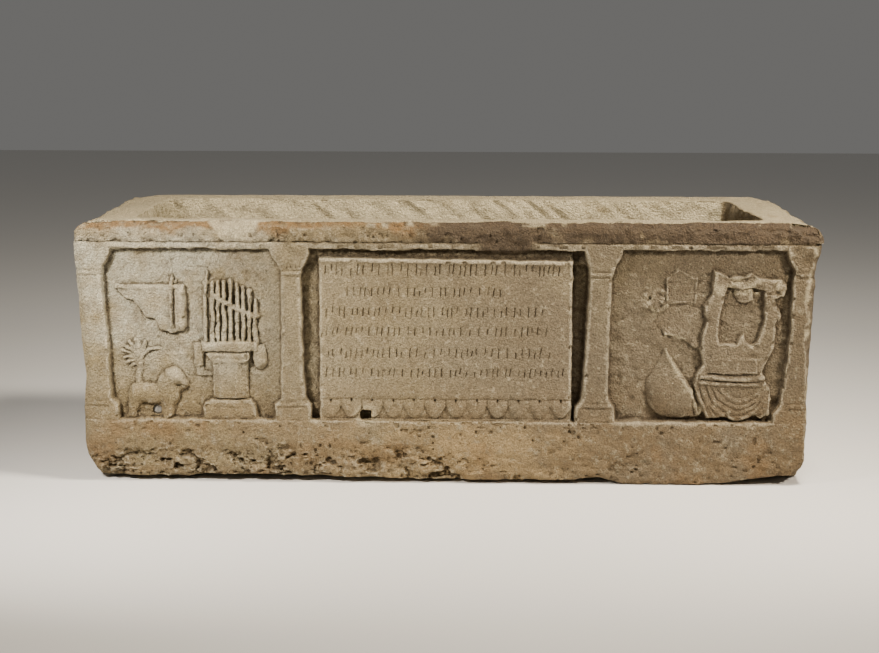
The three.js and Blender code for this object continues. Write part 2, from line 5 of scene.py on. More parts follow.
import bmesh
import bpy
import numpy as np
from bpy.props import FloatProperty, FloatVectorProperty, IntProperty, PointerProperty
from mathutils import Matrix, Vector


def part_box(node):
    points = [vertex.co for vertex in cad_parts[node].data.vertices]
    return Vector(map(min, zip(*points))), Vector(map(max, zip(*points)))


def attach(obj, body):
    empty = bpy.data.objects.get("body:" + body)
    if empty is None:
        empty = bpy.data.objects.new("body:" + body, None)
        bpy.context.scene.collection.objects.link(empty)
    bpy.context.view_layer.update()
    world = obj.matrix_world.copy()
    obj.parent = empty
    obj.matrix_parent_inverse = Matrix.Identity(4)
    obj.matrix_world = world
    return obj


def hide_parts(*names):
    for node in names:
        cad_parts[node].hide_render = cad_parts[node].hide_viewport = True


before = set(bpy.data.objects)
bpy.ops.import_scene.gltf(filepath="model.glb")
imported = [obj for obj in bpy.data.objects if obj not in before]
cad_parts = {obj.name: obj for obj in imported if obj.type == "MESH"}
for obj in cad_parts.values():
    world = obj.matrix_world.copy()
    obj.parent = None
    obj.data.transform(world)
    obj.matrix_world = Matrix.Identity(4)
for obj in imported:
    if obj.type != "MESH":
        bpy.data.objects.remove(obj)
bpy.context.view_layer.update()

bl_info = {
    "name": "Stone sarcophagus",
    "version": (1, 0, 0),
    "blender": (4, 5, 0),
    "location": "View3D > Sidebar > Sarcophagus",
    "description": "Carves a limestone trough round its packed solids and lights it",
    "category": "Add Mesh",
}

TROUGH_LOW, TROUGH_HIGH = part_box("trough")
PLUG_LOW, PLUG_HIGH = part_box("drain_plug")

# Carving is drawn in millimetres: x from the middle, z above the foot, depth behind the foremost plane
MM = 0.001
FRONT = TROUGH_LOW.y / MM
BACK = TROUGH_HIGH.y / MM
LEFT = TROUGH_LOW.x / MM
RIGHT = TROUGH_HIGH.x / MM
TOP = TROUGH_HIGH.z / MM
END_WALL = 160
FRONT_WALL = 115
BACK_WALL = 135
CAVITY_LEFT, CAVITY_RIGHT = LEFT + END_WALL, RIGHT - END_WALL
CAVITY_FRONT, CAVITY_BACK = FRONT + FRONT_WALL, BACK - BACK_WALL
CAVITY_FLOOR = 180
CAVITY_CORNER = 30

# The levels of the front, from the foot up
LEDGE = 186
PANEL_TOP = 678
BAND_FOOT = 698
PANEL_DEPTH = 36
GAP_DEPTH = 50
PLAQUE = (-364, 355, 190, 654)
PLAQUE_FACE = 10
TONGUE_TOP = 247
TONGUE_FOOT = 192
TONGUE_PITCH = 60
FIRST_TONGUE = -334
TONGUES = 12
PILASTER_FACE = 5
# The stone's highest places lie this far inside the solid's box, so that its grain has room
SET_BACK = 1.6
# Points nearer than this, in mm, to a flat side of the block lie on it
TOUCH = 1e-3

# The square drain hole, and the round one that the lead plug closes
SQUARE_HOLE = (-251.5, -217.5, 185, 215)
ROUND_HOLE = ((PLUG_LOW.x + PLUG_HIGH.x) / 2 / MM, (PLUG_LOW.z + PLUG_HIGH.z) / 2 / MM)
PLUG_RADIUS = (PLUG_HIGH.x - PLUG_LOW.x) / 2 / MM - 0.1
PLUG_GAP = 0.5

# The ends as they are worn, seen from the front: how far each is drawn in at a height
LEFT_END = ((0, 22), (103, 17), (215, 18), (315, 25), (466, 11), (532, 11), (581, 7), (658, 2), (700, 0),
            (732, 2), (746, 12), (757, 28))
RIGHT_END = ((0, 32), (108, 35), (173, 30), (223, 31), (255, 33), (336, 28), (454, 21), (572, 16),
             (637, 18), (657, 8), (686, 0), (720, 0), (751, 14), (757, 24))
# How far the foot's front arris is worn upward, along its length
FOOT_LIFT = ((-1065, 16), (-968, 14), (-742, 14), (-712, 21), (-539, 21), (-308, 16), (-221, 15),
             (-105, 11), (154, 11), (298, 10), (442, 16), (514, 1), (557, 0), (730, 3), (793, 6),
             (902, 21), (987, 29), (1065, 34))

# Outlines of the pilasters' faces, each drawn down its left side and up its right
PILASTERS = (
    ((-1120, 700), (-1120, 178), (-946, 178), (-946, 229), (-968, 247), (-970, 330), (-974, 440), (-982, 532),
     (-984, 604), (-985, 614), (-983, 624), (-973, 643), (-963, 662), (-960, 677), (-960, 700)),
    ((-504, 700), (-504, 676), (-498, 658), (-485, 640), (-475, 624), (-472, 613), (-471, 600), (-472, 420),
     (-475, 247), (-493, 230), (-493, 178), (-391, 178), (-391, 228), (-406, 247), (-412, 304), (-416, 420),
     (-419, 600), (-417, 613), (-414, 624), (-404, 640), (-396, 658), (-394, 676), (-394, 700)),
    ((389, 700), (389, 676), (393, 658), (398, 640), (402, 624), (403, 611), (405, 597), (398, 440),
     (391, 309), (383, 243), (367, 226), (367, 178), (479, 178), (479, 224), (462, 246), (458, 266),
     (461, 430), (465, 597), (470, 611), (471, 624), (479, 640), (490, 658), (495, 676), (495, 700)),
    ((963, 700), (963, 676), (967, 658), (977, 640), (984, 624), (985, 613), (980, 600), (976, 428),
     (970, 360), (962, 298), (954, 243), (946, 226), (934, 210), (933, 178), (1120, 178), (1120, 700)),
)
PILASTER_FLARE = 5
# Middle of each pilaster's shaft, and half its width
PILASTER_SHAFTS = ((-1017, 34), (-445, 28), (434, 32), (1010, 34))
# Lines across each pilaster: height, how far past the shaft at its left and right, width, depth
PILASTER_LINES = ((603, 0, 0, 2.2, 3.2), (611, 3, 3, 3.2, -2.6), (619, 4, 4, 2.2, 2.2),
                  (224, 14, 12, 2.2, 3.0), (231, 8, 6, 2.6, -1.6), (240, 4, 2, 2.4, 2.0))
# Where the fillet is lost, and where the last capital is worn away: middle
LOST_FILLET = (168, 686)
WORN_CAPITAL = (1015, 652)
# Lumps knocked off the rim's front arris: middle, half width, how far down and how deep
RIM_CHIPS = ((-990, 40, 22, 10), (-870, 30, 14, 8), (-420, 50, 18, 9), (-120, 60, 20, 10), (150, 60, 22, 12),
             (330, 40, 18, 10), (560, 60, 20, 10), (720, 34, 26, 13), (800, 40, 22, 12), (930, 50, 30, 16),
             (1010, 40, 40, 16))
# The break down the right front corner: how far right the carving runs, at a height
RIGHT_BREAK = ((150, 1024), (255, 1022), (400, 1018), (543, 1015), (600, 1020), (660, 1034))
# No point moves further than this onto a broken corner's plane
BREAK_REACH = 200
# Corners broken off along rough planes: a point on the plane, the way it faces, its roughness, its seed
BROKEN_CORNERS = (
    ((-1012, FRONT, 52), (-0.62, -0.36, -0.70), 15, 121),
    ((-1034, FRONT, 96), (-0.86, -0.40, -0.32), 12, 128),
    ((1008, FRONT, 56), (0.66, -0.40, -0.63), 6, 122),
    ((-1047, FRONT + 6, 735), (-0.66, -0.42, 0.62), 6, 123),
    ((1050, FRONT + 4, 737), (0.60, -0.44, 0.67), 6, 124),
    ((-1050, BACK - 10, 736), (-0.60, 0.45, 0.66), 5, 125),
    ((1060, BACK - 5, 750), (0.62, 0.45, 0.64), 6, 126),
    ((-1020, BACK - 4, 22), (-0.55, 0.55, -0.63), 5, 127),
)

# Rows of shallow strokes: top, foot, start and end of each
STROKE_ROWS = ((637, 605, -352, 338), (570, 546, -290, 164), (514, 487, -349, 278), (456, 432, -350, 298),
               (395, 368, -345, 299), (337, 312, -351, 337))

# Left panel
CASE = ((-952, 571), (-756, 573), (-750, 562), (-749, 452), (-758, 441), (-775, 438), (-790, 433),
        (-804, 441), (-822, 444), (-826, 460), (-838, 476), (-850, 478), (-864, 480), (-876, 498),
        (-894, 522), (-900, 530), (-918, 532), (-936, 547), (-944, 558))
CASE_BODY = ((-777, 566), (-754, 566), (-750, 556), (-750, 462), (-755, 448), (-766, 440), (-777, 443))
PALM_TRUNK = ((-888, 284), (-888, 312), (-885, 340), (-881, 364))
PALM_FRONDS = (  # each: its line, its radius
    (((-879, 362), (-866, 378), (-848, 388), (-827, 387)), 6),
    (((-881, 368), (-876, 388), (-868, 408)), 7.5),
    (((-884, 370), (-886, 392), (-896, 414)), 7),
    (((-885, 368), (-900, 392), (-914, 410)), 6.5),
    (((-885, 366), (-908, 386), (-934, 396)), 6),
    (((-885, 362), (-908, 374), (-936, 383)), 5.5),
    (((-885, 356), (-904, 364), (-927, 361)), 5.5),
    (((-886, 350), (-904, 354), (-924, 345)), 5),
    (((-887, 344), (-902, 343), (-916, 331)), 4.5),
)
RAM_BODY = ((-905, 284), (-915, 272), (-919, 250), (-920, 220), (-922, 190), (-899, 189), (-888, 208),
            (-874, 227), (-850, 225), (-823, 228), (-822, 190), (-788, 190), (-785, 215), (-777, 240),
            (-769, 262), (-752, 273), (-743, 282), (-747, 294), (-755, 307), (-764, 319), (-776, 329),
            (-792, 333), (-806, 324), (-815, 309), (-826, 295), (-842, 286), (-868, 287))
RAM_ROUND = (  # each: x, z, half length, half height, height of the swelling, turn in degrees
    (-898, 254, 22, 33, 20, 0), (-862, 257, 58, 30, 24, 0), (-800, 257, 32, 40, 24, -6),
    (-908, 212, 13, 30, 14, 6), (-806, 286, 28, 33, 24, 15), (-785, 308, 31, 25, 30, -25),
    (-761, 289, 19, 14, 18, -42), (-806, 210, 18, 34, 20, 0),
)
ORGAN_PIPES = ((-672, 580), (-656, 584), (-639, 584), (-621, 586), (-601, 577), (-584, 567), (-566, 556),
               (-550, 530))
ORGAN_STAY = ((-668, 542), (-645, 530), (-606, 508), (-584, 498), (-562, 492))
ORGAN_CHEST = ((-703, 410), (-690, 407), (-620, 411), (-545, 408), (-543, 384), (-600, 379), (-650, 381),
               (-700, 383))
ORGAN_CORNICE = ((-692, 374), (-685, 379), (-568, 378), (-567, 362), (-577, 352), (-590, 349), (-668, 350),
                 (-678, 358))
ORGAN_SHAFT = ((-672, 352), (-573, 352), (-573, 244), (-673, 244))
# The depth of the pedestal's three facets, across it
SHAFT_FACETS = ((-673, 29), (-654, 16), (-651, 13.5), (-648, 16), (-610, 15), (-607, 12), (-604, 14),
                (-572, 27))
ORGAN_FOOT = ((-702, 184), (-701, 222), (-695, 232), (-678, 241), (-566, 241), (-553, 231), (-549, 222),
              (-544, 184))

# Right panel
TABLET = ((624, 527), (623, 595), (656, 625), (709, 595), (709, 528))
LUTE = ((622, 396), (633, 384), (650, 357), (668, 331), (688, 300), (702, 278), (712, 262), (726, 240),
        (737, 218), (722, 207), (700, 201), (660, 194), (624, 198), (601, 208), (586, 224), (576, 244),
        (571, 274), (575, 303), (590, 330), (606, 356), (614, 380))
LUTE_CREST = ((621, 400), (632, 376), (648, 344), (664, 318), (682, 296), (700, 268), (708, 246),
              (716, 226), (722, 206))
LUTE_NECK = ((618, 402), (602, 424), (578, 466), (551, 520), (520, 575))
LYRE = ((757, 622), (754, 584), (754, 552), (742, 538), (731, 520), (731, 497), (741, 482), (733, 460),
        (727, 437), (724, 400), (730, 353), (714, 321), (706, 292), (714, 263), (731, 224), (744, 197),
        (770, 196), (786, 202), (806, 198), (834, 188), (858, 194), (884, 206), (900, 196), (922, 206),
        (926, 252), (921, 284), (908, 298), (901, 328), (906, 349), (930, 398), (935, 455), (933, 470),
        (944, 501), (934, 519), (929, 541), (956, 551), (962, 572), (946, 598), (915, 596), (886, 600),
        (862, 612), (838, 602), (818, 606), (800, 598), (780, 612))
LYRE_OPENING = ((797, 574), (786, 534), (777, 497), (773, 434), (778, 412), (796, 414), (814, 414),
                (824, 410), (832, 430), (844, 440), (852, 418), (868, 406), (882, 417), (896, 456),
                (902, 483), (900, 566), (868, 572), (840, 566))
LYRE_LUMP = ((820, 584), (816, 556), (826, 536), (846, 529), (868, 540), (870, 578))
LYRE_TAILPIECE = ((749, 369), (885, 370), (886, 328), (750, 326))
LYRE_SWAGS = (
    (((734, 287), (744, 252), (776, 214), (834, 194), (880, 216), (906, 256), (909, 280)), 7),
    (((748, 285), (762, 252), (792, 224), (834, 212), (874, 228), (898, 258), (906, 277)), 6),
    (((764, 281), (784, 250), (833, 229), (872, 240), (896, 262), (905, 275)), 6),
    (((782, 278), (806, 256), (836, 247), (866, 254), (890, 272)), 5),
)
LYRE_SIDE_FOLDS = (
    (((714, 290), (722, 262), (736, 228), (748, 199)), 7),
    (((726, 286), (738, 256), (752, 226), (768, 202)), 5),
    (((903, 297), (914, 262), (920, 232), (918, 206)), 7),
)
LYRE_SWAG_CREASES = (
    ((742, 290), (756, 250), (788, 218), (834, 203), (876, 222), (900, 256)),
    ((757, 286), (776, 250), (806, 232), (834, 221), (870, 234), (896, 262)),
    ((774, 282), (800, 252), (834, 238), (866, 246), (892, 266)),
    ((794, 280), (812, 266), (836, 258), (862, 264), (884, 276)),
)
LYRE_SIDE_CREASES = (
    ((720, 292), (730, 256), (742, 222)), ((908, 292), (916, 256), (916, 220)),
    ((896, 250), (904, 226), (906, 204)), ((752, 232), (764, 214), (772, 202)),
    ((858, 214), (872, 204), (880, 200)), ((790, 214), (798, 206), (802, 200)),
)
LYRE_HEM = ((736, 300), (770, 290), (834, 286), (900, 290), (908, 300), (905, 240), (870, 206), (834, 190),
            (790, 202), (758, 228), (738, 262))
PATCH = ((-690, 770), (-682, 757), (-662, 738), (-650, 716), (-640, 704), (-580, 703), (-560, 712),
         (-545, 730), (-538, 748), (-524, 770))

# The camera that the photo's view was fitted to: its place in metres, its turns in degrees, its lens in mm
CAMERA_PLACE = (0.049, -5.289, 1.280)
CAMERA_TURN = 0.833
CAMERA_DIP = 9.53
CAMERA_ROLL = 0.178
CAMERA_LENS = 71.25
CAMERA_SENSOR = 36.0
FLOOR_REACH = 14.0


def linear(hex_colour):
    """An sRGB hex colour as linear red, green and blue."""
    parts = [int(hex_colour[i:i + 2], 16) / 255 for i in (1, 3, 5)]
    return tuple(c / 12.92 if c <= 0.04045 else ((c + 0.055) / 1.055) ** 2.4 for c in parts)


def add_node(tree, kind, inputs=(), **settings):
    """Adds a node with its settings. Each input is linked if its value is a socket, and set if not."""
    made = tree.nodes.new(kind)
    for name, value in settings.items():
        setattr(made, name, value)
    for name, value in dict(inputs).items():
        if isinstance(value, bpy.types.NodeSocket):
            tree.links.new(value, made.inputs[name])
        else:
            made.inputs[name].default_value = value
    return made


# Noise and other fields that the carving is made of

def noise(seed, size, *axes):
    """Smooth noise from -1 to 1 at the given points, with a swell about every `size` mm."""
    cells = [np.floor(a / size) for a in axes]
    parts = [a / size - c for a, c in zip(axes, cells)]
    eases = [p * p * p * (p * (p * 6 - 15) + 10) for p in parts]
    total = 0.0
    for corner in itertools.product((0, 1), repeat=len(axes)):
        weight = 1.0
        key = seed * 57.31
        for offset, cell, ease, step in zip(corner, cells, eases, (12.9898, 78.233, 37.719)):
            weight = weight * (ease if offset else 1 - ease)
            key = key + (cell + offset) * step
        value = np.sin(key) * 43758.5453
        total = total + weight * (value - np.floor(value))
    return 2 * total - 1


def rough(seed, size, octaves, *axes):
    """Noise at several sizes, each half the last in size and height, still from about -1 to 1."""
    total = 0.0
    for i in range(octaves):
        total = total + noise(seed + i, size / 2 ** i, *axes) / 2 ** i
    return total / 1.4


def ramp(value, low, high):
    """From 0 at low to 1 at high, eased at both ends."""
    t = np.clip((value - low) / (high - low), 0, 1)
    return t * t * (3 - 2 * t)


def table(value, points):
    """The second number of a table of pairs at a value of the first."""
    first, second = zip(*points)
    return np.interp(value, first, second)


def blot(x, z, middle, reach):
    """1 over a rounded patch, falling to 0 past its reach."""
    return np.exp(-((x - middle[0]) / reach[0]) ** 4 - ((z - middle[1]) / reach[1]) ** 4)


def softened(field, cells):
    """A field blurred over about this many cells each way."""
    for axis in (0, 1):
        for _ in range(3):
            spread = [(0, 0), (0, 0)]
            spread[axis] = (cells + 1, cells)
            sums = np.cumsum(np.pad(field, spread, mode="edge"), axis)
            high = np.take(sums, range(2 * cells + 1, sums.shape[axis]), axis)
            low = np.take(sums, range(sums.shape[axis] - 2 * cells - 1), axis)
            field = (high - low) / (2 * cells + 1)
    return field


def inside(outline, x, z):
    """How far points lie inside a closed outline, in mm, and below zero outside it."""
    nearest = np.full(x.shape, 1e9)
    within = np.zeros(x.shape, bool)
    for (ax, az), (bx, bz) in zip(outline, outline[1:] + outline[:1]):
        ex, ez = bx - ax, bz - az
        along = np.clip(((x - ax) * ex + (z - az) * ez) / (ex * ex + ez * ez), 0, 1)
        nearest = np.minimum(nearest, (x - ax - along * ex) ** 2 + (z - az - along * ez) ** 2)
        if az != bz:
            within ^= ((az > z) != (bz > z)) & (x < ex * (z - az) / (bz - az) + ax)
    return np.where(within, 1, -1) * np.sqrt(nearest)


def beside(line, x, z):
    """How far points lie from a line of several points, and how far along it they are, from 0 to 1."""
    lengths = [math.dist(a, b) for a, b in zip(line, line[1:])]
    nearest = np.full(x.shape, 1e9)
    share = np.zeros(x.shape)
    walked = 0.0
    for (ax, az), (bx, bz), length in zip(line, line[1:], lengths):
        ex, ez = bx - ax, bz - az
        along = np.clip(((x - ax) * ex + (z - az) * ez) / length ** 2, 0, 1)
        distance = np.hypot(x - ax - along * ex, z - az - along * ez)
        closer = distance < nearest
        nearest = np.where(closer, distance, nearest)
        share = np.where(closer, (walked + along * length) / sum(lengths), share)
        walked += length
    return nearest, share


def curve(points, steps=6):
    """A smooth line through a few points."""
    points = [points[0]] + list(points) + [points[-1]]
    line = []
    for a, b, c, d in zip(points, points[1:], points[2:], points[3:]):
        for i in range(steps):
            t = i / steps
            line.append(tuple(
                0.5 * (2 * q + (r - p) * t + (2 * p - 5 * q + 4 * r - s) * t ** 2
                       + (3 * q - p - 3 * r + s) * t ** 3)
                for p, q, r, s in zip(a, b, c, d)))
    return line + [points[-1]]


class Carving:
    """The front as a grid of points, and the depth of the stone behind its foremost plane at each."""

    def __init__(self, x, z):
        self.x = x
        self.z = z
        self.depth = np.zeros(x.shape)
        # Points that are left as they are when the mesh is thinned
        self.kept = np.zeros(x.shape, bool)
        # Outlines are read through these, so that cut edges waver as hand work and wear leave them
        self.hand_x = x + 1.6 * noise(3, 23, x, z) + 0.9 * noise(4, 9, x, z)
        self.hand_z = z + 1.6 * noise(5, 23, x, z) + 0.9 * noise(6, 9, x, z)
        # What the colours follow: pale new breaks, with painted highlight on some arrises, orange stain, dark
        # crust
        self.fresh_and_lit = np.zeros(x.shape)
        self.stain = np.zeros(x.shape)
        self.crust_and_shade = np.zeros(x.shape)

    def window(self, points, margin):
        """The part of the grid round some points."""
        xs, zs = zip(*points)
        columns = np.flatnonzero(np.any((self.x > min(xs) - margin) & (self.x < max(xs) + margin), 0))
        rows = np.flatnonzero(np.any((self.z > min(zs) - margin) & (self.z < max(zs) + margin), 1))
        return slice(rows[0], rows[-1] + 1), slice(columns[0], columns[-1] + 1)

    def raised(self, outline, face, flare=4, power=1.6, arris=2.5, reach=6):
        """A form left standing: walls that flare out at the foot and a rounded arris at the face."""
        part = self.window(outline, flare + 6)
        d = inside(outline, self.hand_x[part], self.hand_z[part])
        ground = self.depth[part]
        rise = np.clip((d + flare) / flare, 0, 1) ** power
        edge = arris * (1 - np.clip(d / reach, 0, 1)) ** 2
        form = ground + (face + edge - ground) * rise
        self.depth[part] = np.minimum(ground, form)

    def sunk(self, outline, face, slope=3):
        """A place cut down to a depth, with walls that slope in from the outline."""
        part = self.window(outline, 6)
        d = inside(outline, self.hand_x[part], self.hand_z[part])
        ground = self.depth[part]
        self.depth[part] = np.maximum(ground, ground + (face - ground) * ramp(d, 0, slope))

    def swelled(self, x, z, half_length, half_height, rise, turn=0, power=0.55, blend=3.0):
        """A rounded form that swells out of the panel and runs softly into what it meets."""
        reach = max(half_length, half_height)
        part = self.window([(x - reach, z - reach), (x + reach, z + reach)], 4)
        c, s = math.cos(math.radians(turn)), math.sin(math.radians(turn))
        dx, dz = self.hand_x[part] - x, self.hand_z[part] - z
        q = ((dx * c + dz * s) / half_length) ** 2 + ((dz * c - dx * s) / half_height) ** 2
        form = PANEL_DEPTH - rise * np.clip(1 - q, 0, 1) ** power
        near = np.clip(blend - np.abs(self.depth[part] - form), 0, None)
        joined = np.minimum(self.depth[part], form) - near ** 2 / (4 * blend)
        self.depth[part] = np.where(q < 1, joined, self.depth[part])

    def rod(self, line, radius, crest, end_radius=None, wobble=0.0, seed=0):
        """A round bar that lies along a line, its crest at a depth."""
        part = self.window(line, radius + 6)
        d, share = beside(line, self.hand_x[part], self.hand_z[part])
        r = radius + ((end_radius or radius) - radius) * share
        r = r * (1 + wobble * noise(seed + 40, 17, self.x[part], self.z[part]))
        form = crest + r - np.sqrt(np.clip(r * r - d * d, 0, None)) + 1.2 * np.clip(d - 0.8 * r, 0, None)
        self.depth[part] = np.where(d < r, np.minimum(self.depth[part], form), self.depth[part])

    def cut(self, line, width, deep, taper=False, keep=0.0):
        """A groove along a line, or a ridge where deep is below 0. Points within keep mm aren't thinned."""
        part = self.window(line, 2.5 * width + 3)
        d, share = beside(line, self.hand_x[part], self.hand_z[part])
        self.kept[part] |= d < keep
        strength = deep * (1 - share if taper else 1)
        self.depth[part] += strength * np.exp(-(d / width) ** 2)

    def roughened(self, part, height, size, seed, octaves=3):
        """Adds broken or pecked roughness to a part of the grid."""
        self.depth[part] += height * rough(seed, size, octaves, self.x[part], self.z[part])


def carve_architecture(c):
    """The rim band, the fillet, the recessed panels, the plinth and the four pilasters."""
    x, z = c.x, c.z
    waver = 3.4 * noise(11, 70, x, z) + 2.4 * noise(12, 21, x, z) + 1.4 * noise(10, 9, x, z)
    floor = PANEL_DEPTH + 1.4 * noise(13, 90, x, z) + 0.9 * rough(14, 30, 3, x, z)
    right_gap = ramp(c.hand_x, PLAQUE[1] - 1, PLAQUE[1] + 3) * (1 - ramp(x, 400, 425))
    floor = floor + (GAP_DEPTH - PANEL_DEPTH) * right_gap
    floor -= 17 * np.exp(-(np.clip(-466 - x, 0, None) / 46) ** 2) * (x < -440) * ramp(z, 190, 260)
    fillet = 6 + 1.6 * rough(15, 24, 3, x, z) + 3.0 * np.clip(noise(16, 34, x, z) - 0.1, 0, 1)
    worn_foot = np.clip(1 - (z - PANEL_TOP - waver) / 8, 0, 1) ** 2
    fillet += 9 * worn_foot * np.clip(noise(18, 40, x, z) + 0.4, 0, 1)
    under_fillet = ramp(z + waver, PANEL_TOP - 3, PANEL_TOP + 2.5)
    over_ledge = ramp(z + 0.5 * waver, LEDGE - 3, LEDGE + 3)
    plinth = 0.6 + 0.7 * noise(17, 120, x, z)
    panel = plinth + (floor - plinth) * over_ledge
    c.depth[:] = panel + (fillet - panel) * under_fillet
    for outline in PILASTERS:
        c.raised(outline, PILASTER_FACE, flare=PILASTER_FLARE, power=1.6, arris=1.2, reach=4)


def carve_pilaster_lines(c):
    """The astragal under each capital and the lines of each base."""
    for middle, half in PILASTER_SHAFTS:
        for height, left, right, width, deep in PILASTER_LINES:
            c.cut([(middle - half - left, height), (middle + half + right, height - 1)], width, deep)
    # A run of drilled dots survives along the foot of the second capital
    for i in range(5):
        c.cut([(-470 + 13 * i, 626), (-469 + 13 * i, 630)], 3.0, 3.6)
    part = c.window([(-506, 612), (-448, 690)], 4)
    worn = np.clip(rough(59, 22, 3, c.x[part], c.z[part]) + 0.3, 0, 1)
    c.depth[part] += 3.5 * worn * (c.depth[part] < 24)


def carve_band(c):
    """The rim band: a broken, pitted face over a crisp groove, with its upper arris chipped away."""
    x, z = c.x, c.z
    band = ramp(z, BAND_FOOT - 1.5, BAND_FOOT + 2.5)
    along = ramp(x, 250, 520)
    broken = 5.0 + 5.0 * rough(21, 44, 4, x, z) + 4.5 * np.clip(noise(22, 15, x, z), 0, 1)
    striped = 2.2 * noise(23, 9, x + 0.25 * z, z / 5) + 5.0 * rough(24, 60, 4, x, z * 2.2)
    face = broken * (1 - along) + (6.0 + striped) * along
    arris = np.clip((z - (TOP - 21 - 8 * noise(25, 70, x, z) - 5 * noise(20, 23, x, z))) / 17, 0, 1.5)
    face = face + (12 + 7 * noise(26, 30, x, z)) * arris ** 1.7
    face = face + 5.0 * ramp(rough(30, 20, 3, x, z), 0.25, 0.7) * (1 - 0.5 * along)
    # Lumps of the arris are knocked off, most of all towards the right end
    for middle, wide, high, deep in RIM_CHIPS:
        jag = 0.35 * rough(19, 26, 3, x, z)
        face = face + deep * ramp(1.15 - np.hypot((x - middle) / wide, (TOP - z) / high) + jag, 0, 0.35)
    c.depth += (np.clip(face, 0.3, None) - c.depth) * band
    # The lower arris of the band is crisp in places and chipped in others
    chips = np.clip(noise(27, 26, x, z) + 0.25, 0, 1) * np.exp(-((z - 704) / 8) ** 2)
    c.depth += 8.0 * chips * (x < 140)
    c.cut([(LEFT - 10, 699), (84, 699)], 2.0, 6.0)
    c.cut([(252, 698), (RIGHT + 10, 698)], 1.6, 6.0)
    # The pale new break on the band, and the place where the fillet is lost
    c.sunk(PATCH, 10, slope=14)
    part = c.window(PATCH, 10)
    d = inside(PATCH, c.hand_x[part], c.hand_z[part])
    c.fresh_and_lit[part] = np.maximum(c.fresh_and_lit[part], 0.75 * ramp(d, -1, 5))
    c.depth[part] += ramp(d, 0, 6) * 2.0 * rough(60, 18, 3, c.x[part], c.z[part])
    lost = blot(x, z, LOST_FILLET, (72, 17))
    target = 11 + 6.0 * rough(28, 26, 4, x, z)
    c.depth += (target - c.depth) * lost * (0.85 + 0.15 * noise(29, 20, x, z))


def carve_plaque(c):
    """The plaque: a smooth field with a thin lip and a row of tongues."""
    left, right, foot, top = PLAQUE
    c.raised([(left, foot - 16), (right, foot - 16), (right, top - 7), (left, top)], PLAQUE_FACE,
             flare=3, power=1.2, arris=1.2, reach=3)
    x, z = c.hand_x, c.hand_z
    lip = [(left - 2, top + 3), (right + 2, top - 5), (right + 2, top - 18), (left - 2, top - 11)]
    c.depth -= 4.2 * ramp(inside(lip, x, z), -1.0, 1.2)
    for side in (left + 4, right - 4):
        edge = np.exp(-((x - side) / 3.2) ** 2) * ramp(z, 250, 262) * (1 - ramp(z, 632, 642))
        c.depth -= 1.6 * edge
    carve_tongues(c)


def carve_strokes(c):
    """Rows of short upright and leaning cuts in the plaque, apart from each other, that spell nothing."""
    random = np.random.default_rng(7)
    for row_top, row_foot, start, end in STROKE_ROWS:
        place = start + 4
        while place < end - 6:
            tall = (row_top - row_foot) * random.choice([1.0, 0.95, 0.8, 0.6])
            low = row_foot + random.choice([0.0, 0.5, 1.0]) * ((row_top - row_foot) - tall)
            worn = random.uniform(0.5, 1.0)
            c.cut([(place, low), (place + 2.0, low + tall)], 1.4, 5.5 * worn, keep=4.0)
            place += random.choice([13.0, 16.0, 19.0, 25.0])


def carve_tongues(c):
    """Twelve hanging tongues: each has a rounded foot, a cut midrib and a drilled point at its top."""
    left, right, foot, _ = PLAQUE
    row = c.window([(left, foot), (right, TONGUE_TOP)], 2)
    x, z = c.hand_x[row], c.hand_z[row]
    across = np.abs((x - FIRST_TONGUE + TONGUE_PITCH / 2) % TONGUE_PITCH - TONGUE_PITCH / 2)
    half = TONGUE_PITCH / 2 - 1.5
    round_foot = TONGUE_FOOT + 3 + 34 * np.clip(across / half, 0, 1) ** 2.3
    in_row = ramp(x, left, left + 3) * (1 - ramp(x, right - 3, right))
    notch = ramp(round_foot - z, -1.5, 3.5) * (1 - ramp(z, TONGUE_TOP - 8, TONGUE_TOP)) * (z > LEDGE + 1)
    joint = np.exp(-((across - TONGUE_PITCH / 2) / 2.0) ** 2) * (1 - ramp(z, TONGUE_TOP - 6, TONGUE_TOP))
    hollow = 1.6 * (across / half) * (z < TONGUE_TOP) * (1 - notch)
    worn = 0.75 + 0.35 * noise(31, 70, x, z)
    c.depth[row] += in_row * worn * (6.5 * notch + 3.2 * joint * (1 - notch) + hollow)
    c.cut([(left + 2, TONGUE_TOP + 1), (right - 2, TONGUE_TOP)], 1.8, 3.2)
    for i in range(TONGUES):
        middle = FIRST_TONGUE + i * TONGUE_PITCH
        c.cut([(middle, TONGUE_TOP - 2), (middle + 1, 212)], 1.7, 4.0, taper=True)
        c.cut([(middle, TONGUE_TOP - 3), (middle, TONGUE_TOP - 4)], 2.8, 8.0)


